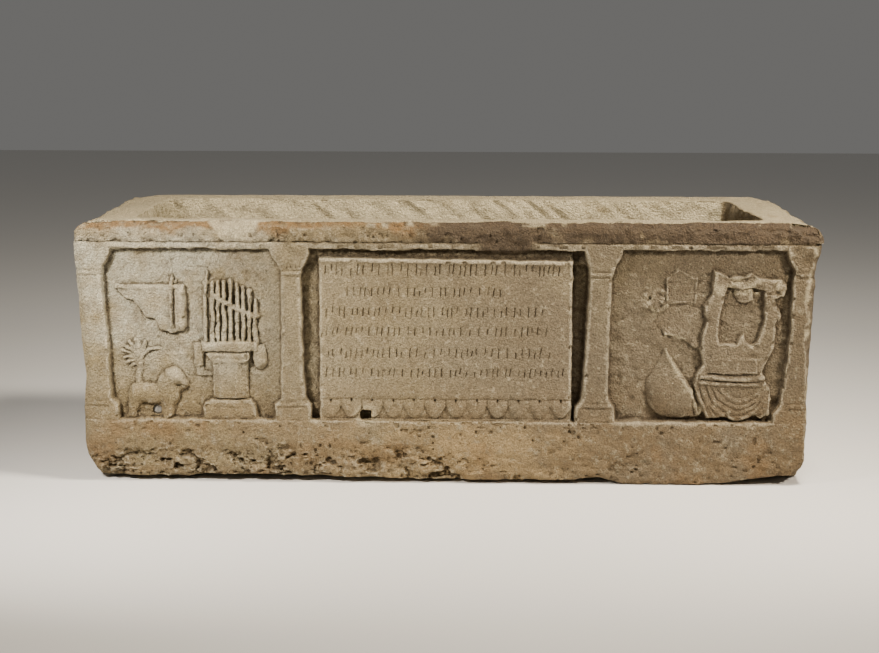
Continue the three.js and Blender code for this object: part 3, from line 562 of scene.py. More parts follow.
def carve_case(c):
    """Left panel: a flat hanging case with a rod through it and a rounded holder at its right."""
    c.raised(CASE, PANEL_DEPTH - 12, flare=1.2, power=1.1, arris=0.6, reach=3)
    part = c.window(CASE, 4)
    on_case = inside(CASE, c.hand_x[part], c.hand_z[part]) > 0
    c.depth[part] += 6 * ramp(-c.x[part], 840, 960) * on_case
    # The wedge's lower edge is undercut in steps
    for line, width in (([(-936, 542), (-918, 528), (-902, 525)], 3.0),
                        ([(-876, 492), (-862, 476), (-842, 471)], 3.6),
                        ([(-822, 438), (-804, 435), (-790, 429), (-764, 435)], 3.6)):
        c.cut(line, width, 5.0)
    top_rail = [(-952, 572), (-752, 572), (-752, 563), (-950, 563)]
    c.raised(top_rail, PANEL_DEPTH - 15, flare=2, arris=1, reach=2)
    c.raised(CASE_BODY, PANEL_DEPTH - 29, flare=2, arris=9, reach=15)
    c.cut([(-779, 562), (-780, 446)], 2.0, 6)
    c.rod([(-788, 592), (-789, 550), (-790, 444)], 5.0, PANEL_DEPTH - 18, end_radius=4.4, wobble=0.15)
    c.rod([(-788, 556), (-787, 603)], 5.4, PANEL_DEPTH - 12, end_radius=1.6)
    c.swelled(-792, 630, 7, 6, 7)
    c.rod([(-792, 632), (-791, 648)], 4.0, PANEL_DEPTH - 5, end_radius=1.0)
    c.swelled(-778, 580, 6, 8, 8)
    c.cut([(-744, 626), (-684, 624)], 2.2, 2.8)
    c.cut([(-744, 619), (-690, 618)], 2.2, -2.2)


def carve_palm(c):
    """Left panel: a small palm behind the ram, with broad uneven fronds."""
    c.rod(PALM_TRUNK, 9.5, PANEL_DEPTH - 10, end_radius=8, wobble=0.15)
    for i, (frond, radius) in enumerate(PALM_FRONDS):
        line = curve(frond, 4)
        c.rod(line, radius, PANEL_DEPTH - 9, end_radius=0.75 * radius, wobble=0.35, seed=i)
    for line in (((-875, 366), (-862, 380), (-848, 383), (-830, 383)), ((-878, 376), (-872, 396)),
                 ((-900, 374), (-928, 388)), ((-892, 380), (-906, 398)), ((-892, 358), (-918, 354))):
        c.cut(curve(line, 4), 1.6, 3.0)


def carve_ram(c):
    """Left panel: a standing ram, its fleece full and its horned head drooping to the right."""
    c.raised(RAM_BODY, PANEL_DEPTH - 12, flare=3, power=1.3, arris=9, reach=14)
    for x, z, half_length, half_height, rise, turn in RAM_ROUND:
        c.swelled(x, z, half_length, half_height, rise, turn, power=0.5, blend=9.0)
    # The shadow under the horn, the ear, the fold of the neck, the hind leg and the rough ground underfoot
    c.cut(curve([(-776, 280), (-764, 282), (-752, 279), (-745, 275)]), 3.0, 5.0)
    c.cut([(-799, 284), (-803, 276)], 2.6, 3.5)
    c.cut(curve([(-784, 264), (-796, 260), (-806, 252)]), 3.0, 3.0)
    c.cut([(-806, 226), (-805, 194)], 2.6, 2.2)
    c.cut(curve([(-866, 232), (-880, 224), (-896, 196)]), 4.0, 4.0)
    part = c.window([(-930, 186), (-765, 206)], 4)
    rubble = ramp(202 + 4 * noise(57, 18, c.x[part], c.z[part]) - c.z[part], -2, 12)
    c.depth[part] -= rubble * (c.z[part] > LEDGE) * (7 + 6 * rough(58, 14, 2, c.x[part], c.z[part]))


def carve_organ(c):
    """Left panel: a portable organ with its pipes and slanting stay, on a pedestal."""
    side_post = [(-692, 408), (-693, 470), (-692, 540), (-690, 584), (-686, 612)]
    c.rod(side_post, 6.5, PANEL_DEPTH - 12, end_radius=3.5, wobble=0.25)
    c.swelled(-691, 578, 10, 9, 14)
    c.swelled(-716, 587, 9, 5, 6)
    for i, (x, top) in enumerate(ORGAN_PIPES):
        sway = 1.6 * math.sin(2.1 * i)
        line = [(x + sway, 404), (x - sway, 455), (x + sway, 510), (x, top)]
        c.rod(line, 6.8, PANEL_DEPTH - 17, end_radius=5.0, wobble=0.4, seed=i)
    c.roughened(c.window([(-680, 405), (-540, 590)], 0), 1.6, 13, 47)
    c.rod(ORGAN_STAY, 6.0, PANEL_DEPTH - 19, end_radius=5.5, wobble=0.35)
    c.swelled(-550, 486, 17, 10, 15)
    c.raised(ORGAN_CHEST, 12, flare=2.5, arris=2.5, reach=4)
    c.raised(ORGAN_SHAFT, 25, flare=2, arris=1, reach=3)
    part = c.window(ORGAN_SHAFT, 0)
    x = c.hand_x[part]
    on_shaft = inside(ORGAN_SHAFT, x, c.hand_z[part])
    facets = table(x, SHAFT_FACETS) + 1.5 * np.clip(2 - on_shaft, 0, 2)
    c.depth[part] = np.where(on_shaft > 0, np.minimum(c.depth[part], facets), c.depth[part])
    c.raised(ORGAN_CORNICE, 11, flare=2, arris=3, reach=5)
    c.cut([(-676, 363), (-574, 362)], 2.2, 2.0)
    c.cut([(-690, 381), (-560, 380)], 2.2, 5.0)
    c.raised(ORGAN_FOOT, 12, flare=2.5, arris=2.5, reach=5)
    c.cut([(-694, 221), (-552, 222)], 2.2, 2.4)
    # The bracket at the left of the pedestal, then the bellows at its right
    c.raised([(-727, 404), (-702, 404), (-701, 340), (-726, 338)], 20, flare=2, arris=3, reach=7)
    bracket = [(-722, 342), (-712, 342), (-708, 322), (-676, 316), (-676, 308), (-718, 312)]
    c.raised(bracket, 25, flare=2.5, arris=2)
    c.raised([(-712, 336), (-700, 336), (-700, 320), (-712, 320)], 25, flare=2, arris=2)
    c.swelled(-536, 358, 21, 29, 22)
    bellows = [(-554, 400), (-526, 400), (-519, 376), (-517, 352), (-526, 338), (-548, 336), (-556, 360)]
    c.raised(bellows, 19, flare=2, arris=5, reach=9)
    c.swelled(-548, 318, 16, 8, 8)


def carve_tablet(c):
    """Right panel: a small gabled tablet with a raised rim, and a worn lump beside it."""
    c.raised(TABLET, PANEL_DEPTH - 5, flare=3, arris=1, reach=3)
    part = c.window(TABLET, 2)
    d = inside(TABLET, c.hand_x[part], c.hand_z[part])
    c.depth[part] += 3.2 * ramp(d, 3, 6)
    c.cut([(624, 592), (708, 594)], 2.4, -2.4)
    c.rod([(706, 528), (709, 596)], 3.5, PANEL_DEPTH - 7)
    for line in ([(640, 540), (676, 586)], [(655, 534), (690, 580)]):
        c.cut(line, 2.0, 1.2)
    part = c.window([(540, 480), (630, 575)], 4)
    x, z = c.hand_x[part], c.hand_z[part]
    lump = ramp(1.1 - np.hypot((x - 588) / 42, (z - 530) / 36) + 0.4 * rough(50, 26, 3, x, z), 0, 0.5)
    c.depth[part] -= lump * (6 + 8 * rough(51, 12, 3, c.x[part], c.z[part]))
    c.fresh_and_lit[part] = np.maximum(c.fresh_and_lit[part], 0.5 * lump * ramp(noise(43, 10, x, z), -0.1, 0.4))
    c.roughened(c.window([(715, 560), (756, 610)], 2), 5.0, 26, 49)


def carve_lute(c):
    """Right panel: a lute on its back, broken down one side, its neck only a faint swell."""
    for width, rise in ((26, 3.0), (10, 1.6)):
        part = c.window(LUTE_NECK, 2 * width)
        d, _ = beside(LUTE_NECK, c.hand_x[part], c.hand_z[part])
        c.depth[part] -= rise * np.exp(-(d / width) ** 2)
    c.cut([(640, 398), (612, 440), (586, 486), (560, 540)], 3, 1.6)
    # The pear swells from its rounded side up to a crest, and is broken steeply away beyond it
    part = c.window(LUTE, 10)
    x, z = c.hand_x[part], c.hand_z[part]
    within = inside(LUTE, x, z)
    rounded_side = beside(LUTE[11:] + LUTE[:1], x, z)[0]
    crest_gap = beside(LUTE_CREST, x, z)[0]
    beyond = inside(LUTE_CREST + ((900, 206), (900, 400)), x, z) > 0
    dome = np.clip(1 - ((x - 648) / 80) ** 2 - ((z - 262) / 84) ** 2, 0, 1)
    swell = 2 + 16 * np.sqrt(1 - (1 - np.clip(rounded_side / 60, 0, 1)) ** 2) + 14 * dome
    broken = swell - (6 + 0.8 * crest_gap) * ramp(crest_gap, 0, 3)
    swell = np.where(beyond, broken, swell + 3 * ramp(9 - crest_gap, 0, 9))
    swell += np.where(beyond, 3.6 * rough(52, 20, 3, x, z) * ramp(crest_gap, 2, 8), 0)
    form = c.depth[part] - np.clip(swell, 0, None) * ramp(within, -2.5, 2.0)
    c.depth[part] = np.minimum(c.depth[part], form)
    # Painted highlight and paler broken stone: a pale line along the crest
    crest_gap, share = beside(LUTE_CREST, x + 4 * noise(37, 19, x, z), z + 4 * noise(38, 19, x, z))
    pale = np.exp(-(crest_gap / (3 + 5 * share)) ** 2) * ramp(noise(48, 13, x, z), -0.5, 0.1)
    pale += 0.7 * beyond * (within > 3) * ramp(noise(39, 14, x, z), 0.1, 0.45)
    c.fresh_and_lit[part] = np.maximum(c.fresh_and_lit[part], np.clip(0.85 * pale, 0, 0.85))
    c.raised([(690, 262), (706, 262), (724, 240), (738, 218), (722, 203), (700, 198), (690, 226)], 19,
             flare=4, arris=4, reach=9)
    c.cut([(704, 266), (702, 236), (708, 206)], 3.0, 5.0)
    c.cut([(717, 250), (716, 226), (722, 210)], 2.6, 3.5)
    # A broken edge runs from the neck to the lyre, with the ground lower under it
    edge = curve([(618, 434), (650, 431), (672, 424), (694, 406), (724, 392)])
    part = c.window(edge, 70)
    x, z = c.hand_x[part], c.hand_z[part]
    above = ramp(inside(edge + [(760, 560), (580, 560)], x, z), -1, 1)
    edge_gap = beside(edge, x, z)[0]
    c.depth[part] -= 8 * above * np.exp(-(edge_gap / 24) ** 2)
    # Painted highlight and paler broken stone: a pale line along the broken edge
    pale = np.exp(-(edge_gap / 3.5) ** 2) * (noise(46, 15, x, z) > -0.2)
    c.fresh_and_lit[part] = np.maximum(c.fresh_and_lit[part], 0.7 * pale)
    c.swelled(676, 470, 70, 52, 5)


def carve_lyre(c):
    """Right panel: a lyre with its crossbar and tailpiece, drapery gathered over its foot."""
    part = c.window(LYRE, 8)
    before = c.depth[part].copy()
    c.raised(LYRE, 14, flare=4, power=1.5, arris=3.0, reach=6)
    x, z = c.hand_x[part], c.hand_z[part]
    opening = inside(LYRE_OPENING, x, z)
    ground = before - 2 + 1.2 * rough(53, 24, 3, x, z)
    c.depth[part] += (ground - c.depth[part]) * ramp(opening, -3.5, 1.5)
    c.raised(LYRE_LUMP, 22, flare=3, arris=4, reach=9)
    part = c.window(LYRE_LUMP, 6)
    c.roughened(part, 2.0, 15, 54)
    c.cut([(785, 521), (852, 519)], 2.2, 2.5)
    # The crossbar and the knobs of the arms are broken and rough
    part = c.window([(757, 560), (962, 622)], 8)
    on_bar = ramp(inside(LYRE, c.hand_x[part], c.hand_z[part]), 0, 5)
    c.depth[part] += on_bar * (3 + 5.0 * rough(55, 24, 3, c.x[part], c.z[part]))
    pale = ramp(noise(44, 18, c.x[part], c.z[part]), -0.1, 0.4)
    c.fresh_and_lit[part] = np.maximum(c.fresh_and_lit[part], 0.6 * on_bar * pale)
    c.cut(curve([(800, 598), (822, 590), (842, 596), (866, 604)]), 4, 6)
    c.cut([(790, 596), (806, 578), (822, 572)], 3.5, 5)
    c.swelled(943, 576, 20, 22, 25)
    c.roughened(c.window([(925, 552), (962, 598)], 2), 2.5, 14, 56)
    c.swelled(771, 560, 14, 50, 24, turn=-6)
    c.swelled(742, 508, 13, 20, 22)
    c.swelled(938, 496, 11, 24, 22, turn=12)
    # Hollows along the arms where they turn in to the sound box
    c.cut(curve([(748, 470), (744, 440), (746, 400), (752, 372)]), 7, 2.2)
    c.cut(curve([(918, 470), (920, 430), (906, 385), (890, 350)]), 7, 2.2)
    c.raised(LYRE_TAILPIECE, 10.5, flare=2, arris=1.5, reach=4)
    part = c.window(LYRE_TAILPIECE, 0)
    d = inside(LYRE_TAILPIECE, c.hand_x[part], c.hand_z[part])
    c.depth[part] += 1.6 * ramp(d, 4, 8)
    # Two rolls of cloth across, then the hanging folds
    c.raised(LYRE_HEM, 13, flare=3, arris=3, reach=8)
    c.rod([(728, 316), (780, 312), (850, 308), (902, 311)], 9, 7.5, wobble=0.1)
    c.rod([(724, 301), (780, 297), (850, 294), (906, 297)], 8, 8.5, wobble=0.1)
    c.cut([(726, 309), (780, 305), (850, 301), (904, 304)], 2.2, 5.0)
    c.cut([(744, 325), (840, 322), (890, 324)], 2.2, 5.0)
    for line, radius in LYRE_SWAGS + LYRE_SIDE_FOLDS:
        c.rod(curve(line, 5), radius, 11, end_radius=radius * 0.7, wobble=0.18)
    for line in LYRE_SWAG_CREASES:
        c.cut(curve(line, 5), 1.7, 2.2)
    for line in LYRE_SIDE_CREASES:
        c.cut(curve(line, 4), 2.0, 2.4)


def carve_wear(c):
    """What time did: worn arrises, pecked ground, tool marks, pits, and the broken outer corners."""
    x, z = c.x, c.z
    field = in_plaque(c)
    # Right end: the corner is broken off along a line that the last pilaster still shows
    past = np.clip(x - table(z, RIGHT_BREAK) - 5 * noise(61, 50, x, z) - 3 * noise(60, 16, x, z), 0, None)
    c.depth += (1.25 * past + 7.0 * rough(62, 24, 3, x, z) * ramp(past, 0, 10)) * (z < 700)
    torn = ramp(past, 0, 3) * (1 - ramp(past, 9, 18)) * (z < 690) * ramp(noise(45, 26, x, z), -0.3, 0.1)
    c.fresh_and_lit = np.maximum(c.fresh_and_lit, 0.75 * torn)
    c.depth += blot(x, z, WORN_CAPITAL, (52, 46)) * (4 + 7.0 * rough(63, 34, 4, x, z))
    # The left end's arris is softly rounded
    c.depth += 9 * np.clip(1 - (x - table(z, LEFT_END) - LEFT) / 24, 0, 1) ** 2
    # Pecked ground in the panels, chisel lines across the deep gap, tooling on the plinth
    on_floor = ramp(c.depth, PANEL_DEPTH - 5, PANEL_DEPTH - 1)
    c.depth += on_floor * (2.0 * noise(64, 12, x, z) + 1.6 * noise(78, 22, x, z))
    gap = (x > PLAQUE[1]) & (x < 405) & (c.depth > 40)
    c.depth += np.where(gap, 2.2 * noise(65, 10, x / 6, z), 0)
    plinth = 1 - ramp(z, LEDGE - 4, LEDGE)
    c.depth += plinth * (1.3 * noise(66, 11, x / 4, z + 0.12 * x) + 1.6 * rough(67, 46, 3, x, z))
    # The foot of the plinth is quarry-rough, more at the left
    lower = plinth * (1 - ramp(z, 50, 128 + 26 * noise(68, 160, x, z) - 0.02 * x))
    patchy = 0.5 + 0.5 * ramp(noise(69, 110, x, z) - 0.0006 * x, -0.3, 0.6)
    patchy = patchy * (1 - 0.7 * ramp(x, -150, 250))
    pocked = 22 * ramp(rough(71, 34, 4, x, 1.6 * z), 0.05, 0.7)
    pocked += 6 * ramp(noise(77, 15, x, 1.3 * z), 0.25, 0.65)
    c.depth += lower * patchy * (7 + 15.0 * rough(70, 70, 5, x, 1.3 * z) + pocked)
    shallow = ramp(noise(85, 13, x, 1.4 * z), 0.5, 0.75) * ramp(noise(86, 60, x, z), -0.1, 0.5)
    c.depth += plinth * 4.0 * shallow
    # Round pits
    pit = ramp(noise(72, 14, x, z), 0.50, 0.74) * ramp(noise(73, 90, x, z), -0.3, 0.5)
    c.depth += 4.5 * pit * (0.3 + 0.7 * plinth) * (1 - 0.85 * field)
    c.depth += (0.8 * noise(74, 13, x, z) + 0.8 * noise(79, 24, x, z)) * (1 - 0.72 * field)
    # Arrises wear back, more in some places than in others
    for cells, share in ((1, 0.3), (5, 0.12)):
        smooth = softened(c.depth, cells)
        standing = np.clip(smooth - c.depth, 0, 6)
        c.depth += share * standing * (0.6 + 0.6 * noise(75, 45, x, z))
    nick = ramp(noise(76, 16, x, z), 0.35, 0.7) * np.clip(softened(c.depth, 3) - c.depth, 0, 5)
    c.depth += 1.2 * nick
    c.depth = np.clip(c.depth, 0, None)


def in_plaque(c):
    """1 on the plaque's smooth field and 0 away from it."""
    left, right, _, top = PLAQUE
    return ((c.x > left) & (c.x < right) & (c.z > TONGUE_FOOT - 4) & (c.z < top)).astype(float)


def paint(c):
    """Where the front is stained, crusted and newly broken."""
    x, z = c.x, c.z
    band = ramp(z, BAND_FOOT - 2, BAND_FOOT + 5)
    mottle = rough(81, 60, 4, x, z)
    orange = ramp(x, -1075, -1000) * (1 - ramp(x, -60, 120)) + 0.35 * (x > 100)
    c.stain = band * orange * ramp(mottle + (z - 735) / 45, -0.3, 0.7)
    c.stain += band * ramp(z, 732, 748) * (0.55 + 0.5 * mottle) * (1 + 0.6 * (x < -640))
    c.stain += 0.5 * (1 - ramp(z, LEDGE - 6, LEDGE + 2)) * ramp(rough(82, 90, 3, x, z), -0.1, 0.7)
    dark = ramp(x, -160, 60)
    streaks = 0.75 + 0.25 * noise(84, 9, x + 0.25 * z, z / 5) * ramp(x, 300, 560)
    c.crust_and_shade = band * dark * ramp(rough(83, 50, 4, x, z) + (z - 724) / 60, -1.6, 0.4) * streaks
    c.crust_and_shade = np.maximum(c.crust_and_shade, 0.6 * blot(x, z, (LOST_FILLET[0], LOST_FILLET[1] + 4), (80, 20)))
    flecks = ramp(z, 742, 751) * ramp(noise(42, 22, x, z), 0.05, 0.4) * (x > -260)
    c.fresh_and_lit = np.maximum(c.fresh_and_lit, 0.7 * flecks)
    c.crust_and_shade *= 1 - c.fresh_and_lit
    c.stain *= 1 - c.fresh_and_lit
    left, right, foot, top = SQUARE_HOLE
    from_hole = np.hypot(x - (left + right) / 2, z - (foot + top) / 2)
    c.fresh_and_lit = np.maximum(c.fresh_and_lit, 0.6 * np.exp(-((from_hole - 20) / 12) ** 2))


# The block round the carving

def spaced(*stretches):
    """Places along a line, from pairs of a start and the step that follows it. The last start is the end."""
    places = []
    for (start, step), (stop, _) in zip(stretches, stretches[1:]):
        count = max(2, round(abs(stop - start) / step))
        places += list(np.linspace(start, stop, count + 1)[:-1])
    return places


def lattice_lines():
    """Coarse x, y and z lines for every side but the front, closer together beside each arris."""
    half = spaced((LEFT, 6), (LEFT + 24, 9), (CAVITY_LEFT - 16, 5), (CAVITY_LEFT, 8), (CAVITY_LEFT + 40, 8),
                  (0, 0))
    xs = half + [0.0] + [-v for v in reversed(half)]
    ys = spaced((FRONT + 5, 6), (FRONT + 30, 9), (CAVITY_FRONT - 16, 5), (CAVITY_FRONT, 8),
                (CAVITY_FRONT + 40, 12.5), (CAVITY_BACK - 40, 8), (CAVITY_BACK, 5), (CAVITY_BACK + 16, 9),
                (BACK - 24, 6), (BACK, 0))
    zs = spaced((0, 6), (24, 12), (CAVITY_FLOOR, 11), (TOP - 112, 6), (TOP - 40, 8), (TOP - 16, 5), (TOP, 0))
    return np.array(xs), np.array(ys + [BACK]), np.array(zs + [TOP])


def lattice_side(axis, at, first, second, outward):
    """Four-cornered faces of one flat side of the lattice, as triples of line numbers, facing outward."""
    f, s = np.meshgrid(first[:-1], second[:-1], indexing="ij")
    f, s = f.ravel(), s.ravel()
    corners = []
    for df, ds in ((0, 0), (1, 0), (1, 1), (0, 1)):
        triple = [None, None, None]
        triple[axis] = np.full(f.shape, at)
        others = [a for a in range(3) if a != axis]
        triple[others[0]] = f + df
        triple[others[1]] = s + ds
        corners.append(np.stack(triple, -1))
    faces = np.stack(corners, 1)
    # Counting first then second turns right-handed about +x and +z but left-handed about +y
    faces_positive = axis != 1
    return faces if faces_positive == (outward > 0) else faces[:, ::-1]


def coarse_sides():
    """Every side but the front as one sheet: its points, its faces and the loop where the front joins it."""
    xs, ys, zs = lattice_lines()
    nx, ny, nz = len(xs), len(ys), len(zs)
    x0, x1 = np.searchsorted(xs, (CAVITY_LEFT, CAVITY_RIGHT))
    y0, y1 = np.searchsorted(ys, (CAVITY_FRONT - 1e-6, CAVITY_BACK - 1e-6))
    z0 = np.searchsorted(zs, CAVITY_FLOOR - 1e-6)
    all_x, all_y, all_z = range(nx), range(ny), range(nz)
    span_x, span_y, span_z = range(x0, x1 + 1), range(y0, y1 + 1), range(z0, nz)
    faces = [
        lattice_side(1, ny - 1, all_x, all_z, 1),
        lattice_side(0, 0, all_y, all_z, -1),
        lattice_side(0, nx - 1, all_y, all_z, 1),
        lattice_side(2, 0, all_x, all_y, -1),
        lattice_side(2, nz - 1, all_x, range(y0 + 1), 1),
        lattice_side(2, nz - 1, all_x, range(y1, ny), 1),
        lattice_side(2, nz - 1, range(x0 + 1), span_y, 1),
        lattice_side(2, nz - 1, range(x1, nx), span_y, 1),
        lattice_side(0, x0, span_y, span_z, 1),
        lattice_side(0, x1, span_y, span_z, -1),
        lattice_side(1, y0, span_x, span_z, 1),
        lattice_side(1, y1, span_x, span_z, -1),
        lattice_side(2, z0, span_x, span_y, 1),
    ]
    faces = np.concatenate([np.array(f) for f in faces])
    keys = (faces[..., 0] * ny + faces[..., 1]) * nz + faces[..., 2]
    used, numbers = np.unique(keys, return_inverse=True)
    numbers = numbers.reshape(keys.shape)
    points = np.stack([xs[used // (ny * nz)], ys[used // nz % ny], zs[used % nz]], -1)

    def number(ix, iz):
        return int(np.searchsorted(used, (ix * ny) * nz + iz))

    loop = [
        [number(ix, 0) for ix in all_x],
        [number(nx - 1, iz) for iz in all_z],
        [number(ix, nz - 1) for ix in reversed(all_x)],
        [number(0, iz) for iz in reversed(all_z)],
    ]
    return points, numbers, loop


def zip_up(fine, coarse, points):
    """Triangles between two runs of points that lie side by side from one corner to the next."""
    def share(run):
        place = points[run]
        steps = np.linalg.norm(np.diff(place, axis=0), axis=1)
        return np.concatenate([[0], np.cumsum(steps)]) / steps.sum()

    fine_share, coarse_share = share(fine), share(coarse)
    i = j = 0
    triangles = []
    while i < len(fine) - 1 or j < len(coarse) - 1:
        if j == len(coarse) - 1 or (i < len(fine) - 1 and fine_share[i + 1] <= coarse_share[j + 1]):
            triangles.append((fine[i + 1], fine[i], coarse[j]))
            i += 1
        else:
            triangles.append((fine[i], coarse[j], coarse[j + 1]))
            j += 1
    return triangles


def within_cavity(x, y):
    """Whether places lie within the cavity's walls or on them, seen from above."""
    return (x > CAVITY_LEFT - 1) & (x < CAVITY_RIGHT + 1) & (y > CAVITY_FRONT - 1) & (y < CAVITY_BACK + 1)


def wear_edges(p):
    """Rounds and chips the block's outer arrises."""
    x, y, z = p.T.copy()
    moved = p.copy()
    outer = {
        (0, -1): x - LEFT, (0, 1): RIGHT - x,
        (1, -1): y - FRONT, (1, 1): BACK - y,
        (2, -1): z, (2, 1): TOP - z,
    }
    in_cavity = within_cavity(x, y)
    rounding = 5.5 + 2.5 * noise(91, 90, x, y, z) + 9 * np.clip(noise(92, 60, x, y, z) - 0.25, 0, 1)
    rounding = rounding + 3 * noise(93, 22, x, y, z)
    rounding = np.clip(rounding, 1.5, None)
    spread = 9 + 0.5 * rounding
    for (axis, side), distance in outer.items():
        on_face = (np.abs(distance) < TOUCH) & ~(in_cavity & (axis == 2) & (side == 1))
        near = np.zeros(len(p))
        for (other, _), gap in outer.items():
            if other != axis:
                near = np.maximum(near, np.exp(-(gap / spread) ** 2))
        if (axis, side) == (2, 1):
            near = near * (1 - 0.7 * ramp(y, 300, 400))
        moved[:, axis] -= side * on_face * near * rounding
    return moved


def wear_cavity(p):
    """Rounds the cavity's upright corners."""
    x, y, z = p.T
    moved = p.copy()
    for cx, sx in ((CAVITY_LEFT, 1), (CAVITY_RIGHT, -1)):
        for cy, sy in ((CAVITY_FRONT, 1), (CAVITY_BACK, -1)):
            centre = np.array([cx + sx * CAVITY_CORNER, cy + sy * CAVITY_CORNER])
            dx, dy = x - centre[0], y - centre[1]
            outward = np.stack([-sx * dx, -sy * dy])
            reach = outward.max(0)
            corner = (outward.min(0) > 0) & (z > CAVITY_FLOOR - 1)
            length = np.hypot(dx, dy) + 1e-9
            fade = 1 - ramp(reach, CAVITY_CORNER, CAVITY_CORNER + 70)
            scale = (reach / length - 1) * fade * corner + 1
            moved[:, 0] = np.where(corner, centre[0] + dx * scale, moved[:, 0])
            moved[:, 1] = np.where(corner, centre[1] + dy * scale, moved[:, 1])
    return moved


def wear_walls(p, inner, lip):
    """Unevenness of the dressed sides, back, underside, cavity and rim."""
    x, y, z = p.T.copy()
    moved = p.copy()
    behind = ramp(y, FRONT + 4, FRONT + 60)
    uneven = 4.5 * rough(101, 190, 3, x, y, z) + 2.6 * noise(102, 28, x + y + z, (z - x - y) / 4)
    for axis, side, distance in ((0, -1, x - LEFT), (0, 1, RIGHT - x), (1, 1, BACK - y), (2, -1, z)):
        on_face = np.abs(distance) < TOUCH
        amount = 0.25 if axis == 2 else 1.0
        moved[:, axis] -= side * on_face * (5 + uneven) * amount * behind
    # The rim's top: level in front, sloping and rougher at the ends and back
    end = np.maximum(ramp(np.abs(x), 900, 1065), 0.4 * ramp(y, 280, 415))
    end_drop = 2 + 6 * rough(109, 60, 3, x, y) + 8 * ramp(np.abs(x), 960, 1065)
    drop = 2.2 + 3.0 * rough(103, 70, 4, x, y) + end * end_drop
    drop = np.clip(drop, 0.3, None) * (1 - 0.7 * ramp(y, 280, 330) * (1 - ramp(np.abs(x), 860, 960)))
    moved[:, 2] -= drop * ramp(z, TOP - 60, TOP)
    # The cavity: worked with a punch, so its walls roll in and out, and its lip is chipped
    wall = 4.0 * rough(104, 120, 3, x, y, z) + 3.0 * rough(110, 34, 2, x, y, z)
    wall += 5.5 * noise(105, 26, x + y + 1.2 * z, (z - 0.8 * x) / 4)
    for axis, side, at in ((0, 1, CAVITY_LEFT), (0, -1, CAVITY_RIGHT),
                           (1, 1, CAVITY_FRONT), (1, -1, CAVITY_BACK)):
        here = inner & (np.abs(p[:, axis] - at) < TOUCH)
        chipped = (2 + 2 * noise(106, 45, x, y)) * np.exp(-((TOP - z) / 12) ** 2)
        moved[:, axis] -= side * here * (wall * ramp(z, CAVITY_FLOOR, CAVITY_FLOOR + 30) + chipped)
    moved[:, 2] -= lip * (3 + 2 * noise(107, 40, x, y))
    skewed = 20 * ramp(x, CAVITY_RIGHT - 140, CAVITY_RIGHT - 5) * ramp(y, CAVITY_FRONT, CAVITY_BACK)
    moved[:, 0] -= skewed * (inner | (lip > 0.02)) * (x < CAVITY_RIGHT + 30)
    floor = inner & (np.abs(z - CAVITY_FLOOR) < TOUCH)
    moved[:, 2] -= floor * np.clip(2 + 2.2 * rough(108, 90, 3, x, y), 0, None)
    return moved


def draw_in(p, base):
    """The ends' worn outline and the lifted front arris of the foot, fading towards the back."""
    x, y, z = base.T
    moved = p.copy()
    depth_fade = 1 - 0.35 * ramp(y, FRONT + 100, BACK)
    toward_left = ramp(-x, -CAVITY_LEFT, -LEFT)
    toward_right = ramp(x, CAVITY_RIGHT, RIGHT)
    ripple = 2.0 * noise(111, 34, y, z) * ramp(z, 0, 60)
    moved[:, 0] += toward_left * (table(z, LEFT_END) * depth_fade + 0.6 + ripple.clip(0))
    moved[:, 0] -= toward_right * (table(z, RIGHT_END) * depth_fade + 0.6 + ripple.clip(0))
    lift = table(x, FOOT_LIFT) + 2.5 * noise(112, 40, x, y)
    fade = (1 - ramp(z, 0, 110)) * (1 - ramp(y, FRONT, FRONT + 130)) * (z < CAVITY_FLOOR - 1)
    moved[:, 2] += np.clip(lift, 0, None) * fade
    return moved


def break_corners(p):
    """Breaks the corners off: a point past a corner's rough plane is brought back onto it."""
    moved = p.copy()
    for place, facing, roughness, seed in BROKEN_CORNERS:
        facing = np.array(facing) / np.linalg.norm(facing)
        past = (moved - np.array(place)) @ facing
        past = past + roughness * rough(seed, 46, 3, *p.T) + 0.3 * roughness
        moved -= np.clip(past, 0, None)[:, None] * facing * (past < BREAK_REACH)[:, None]
    return moved


def mesh_from(name, points, quads, triangles):
    """A mesh from arrays of points in mm, four-cornered faces and triangles."""
    mesh = bpy.data.meshes.new(name)
    mesh.vertices.add(len(points))
    mesh.vertices.foreach_set("co", (points * MM).astype(np.float32).ravel())
    corners = np.concatenate([quads.ravel(), triangles.ravel()]).astype(np.int32)
    sizes = np.concatenate([np.full(len(quads), 4), np.full(len(triangles), 3)])
    mesh.loops.add(len(corners))
    mesh.loops.foreach_set("vertex_index", corners)
    mesh.polygons.add(len(sizes))
    mesh.polygons.foreach_set("loop_start", np.concatenate([[0], np.cumsum(sizes)[:-1]]).astype(np.int32))
    mesh.update(calc_edges=True)
    return mesh


def check_closed(mesh):
    """Raises an error unless each edge has exactly two faces."""
    edges = np.zeros(len(mesh.loops), np.int32)
    mesh.loops.foreach_get("edge_index", edges)
    counts = np.bincount(edges, minlength=len(mesh.edges))
    if np.any(counts != 2):
        raise RuntimeError(f"{mesh.name} has {int(np.sum(counts != 2))} edges that don't join two faces")


def face_outward(mesh):
    """Turns the faces of a closed mesh outward, where they come out facing in."""
    if sum(face.area * face.center.dot(face.normal) for face in mesh.polygons) < 0:
        mesh.flip_normals()


def mend_edges(mesh):
    """Draws to a point the odd edge where thinning has left more or fewer than two faces."""
    form = bmesh.new()
    form.from_mesh(mesh)
    for _ in range(4):
        odd = [edge for edge in form.edges if len(edge.link_faces) != 2]
        if not odd:
            break
        bmesh.ops.collapse(form, edges=odd)
    form.to_mesh(mesh)
    form.free()


def linked(name, mesh):
    """An object for a mesh, in the scene, at the origin."""
    made = bpy.data.objects.new(name, mesh)
    bpy.context.scene.collection.objects.link(made)
    return made


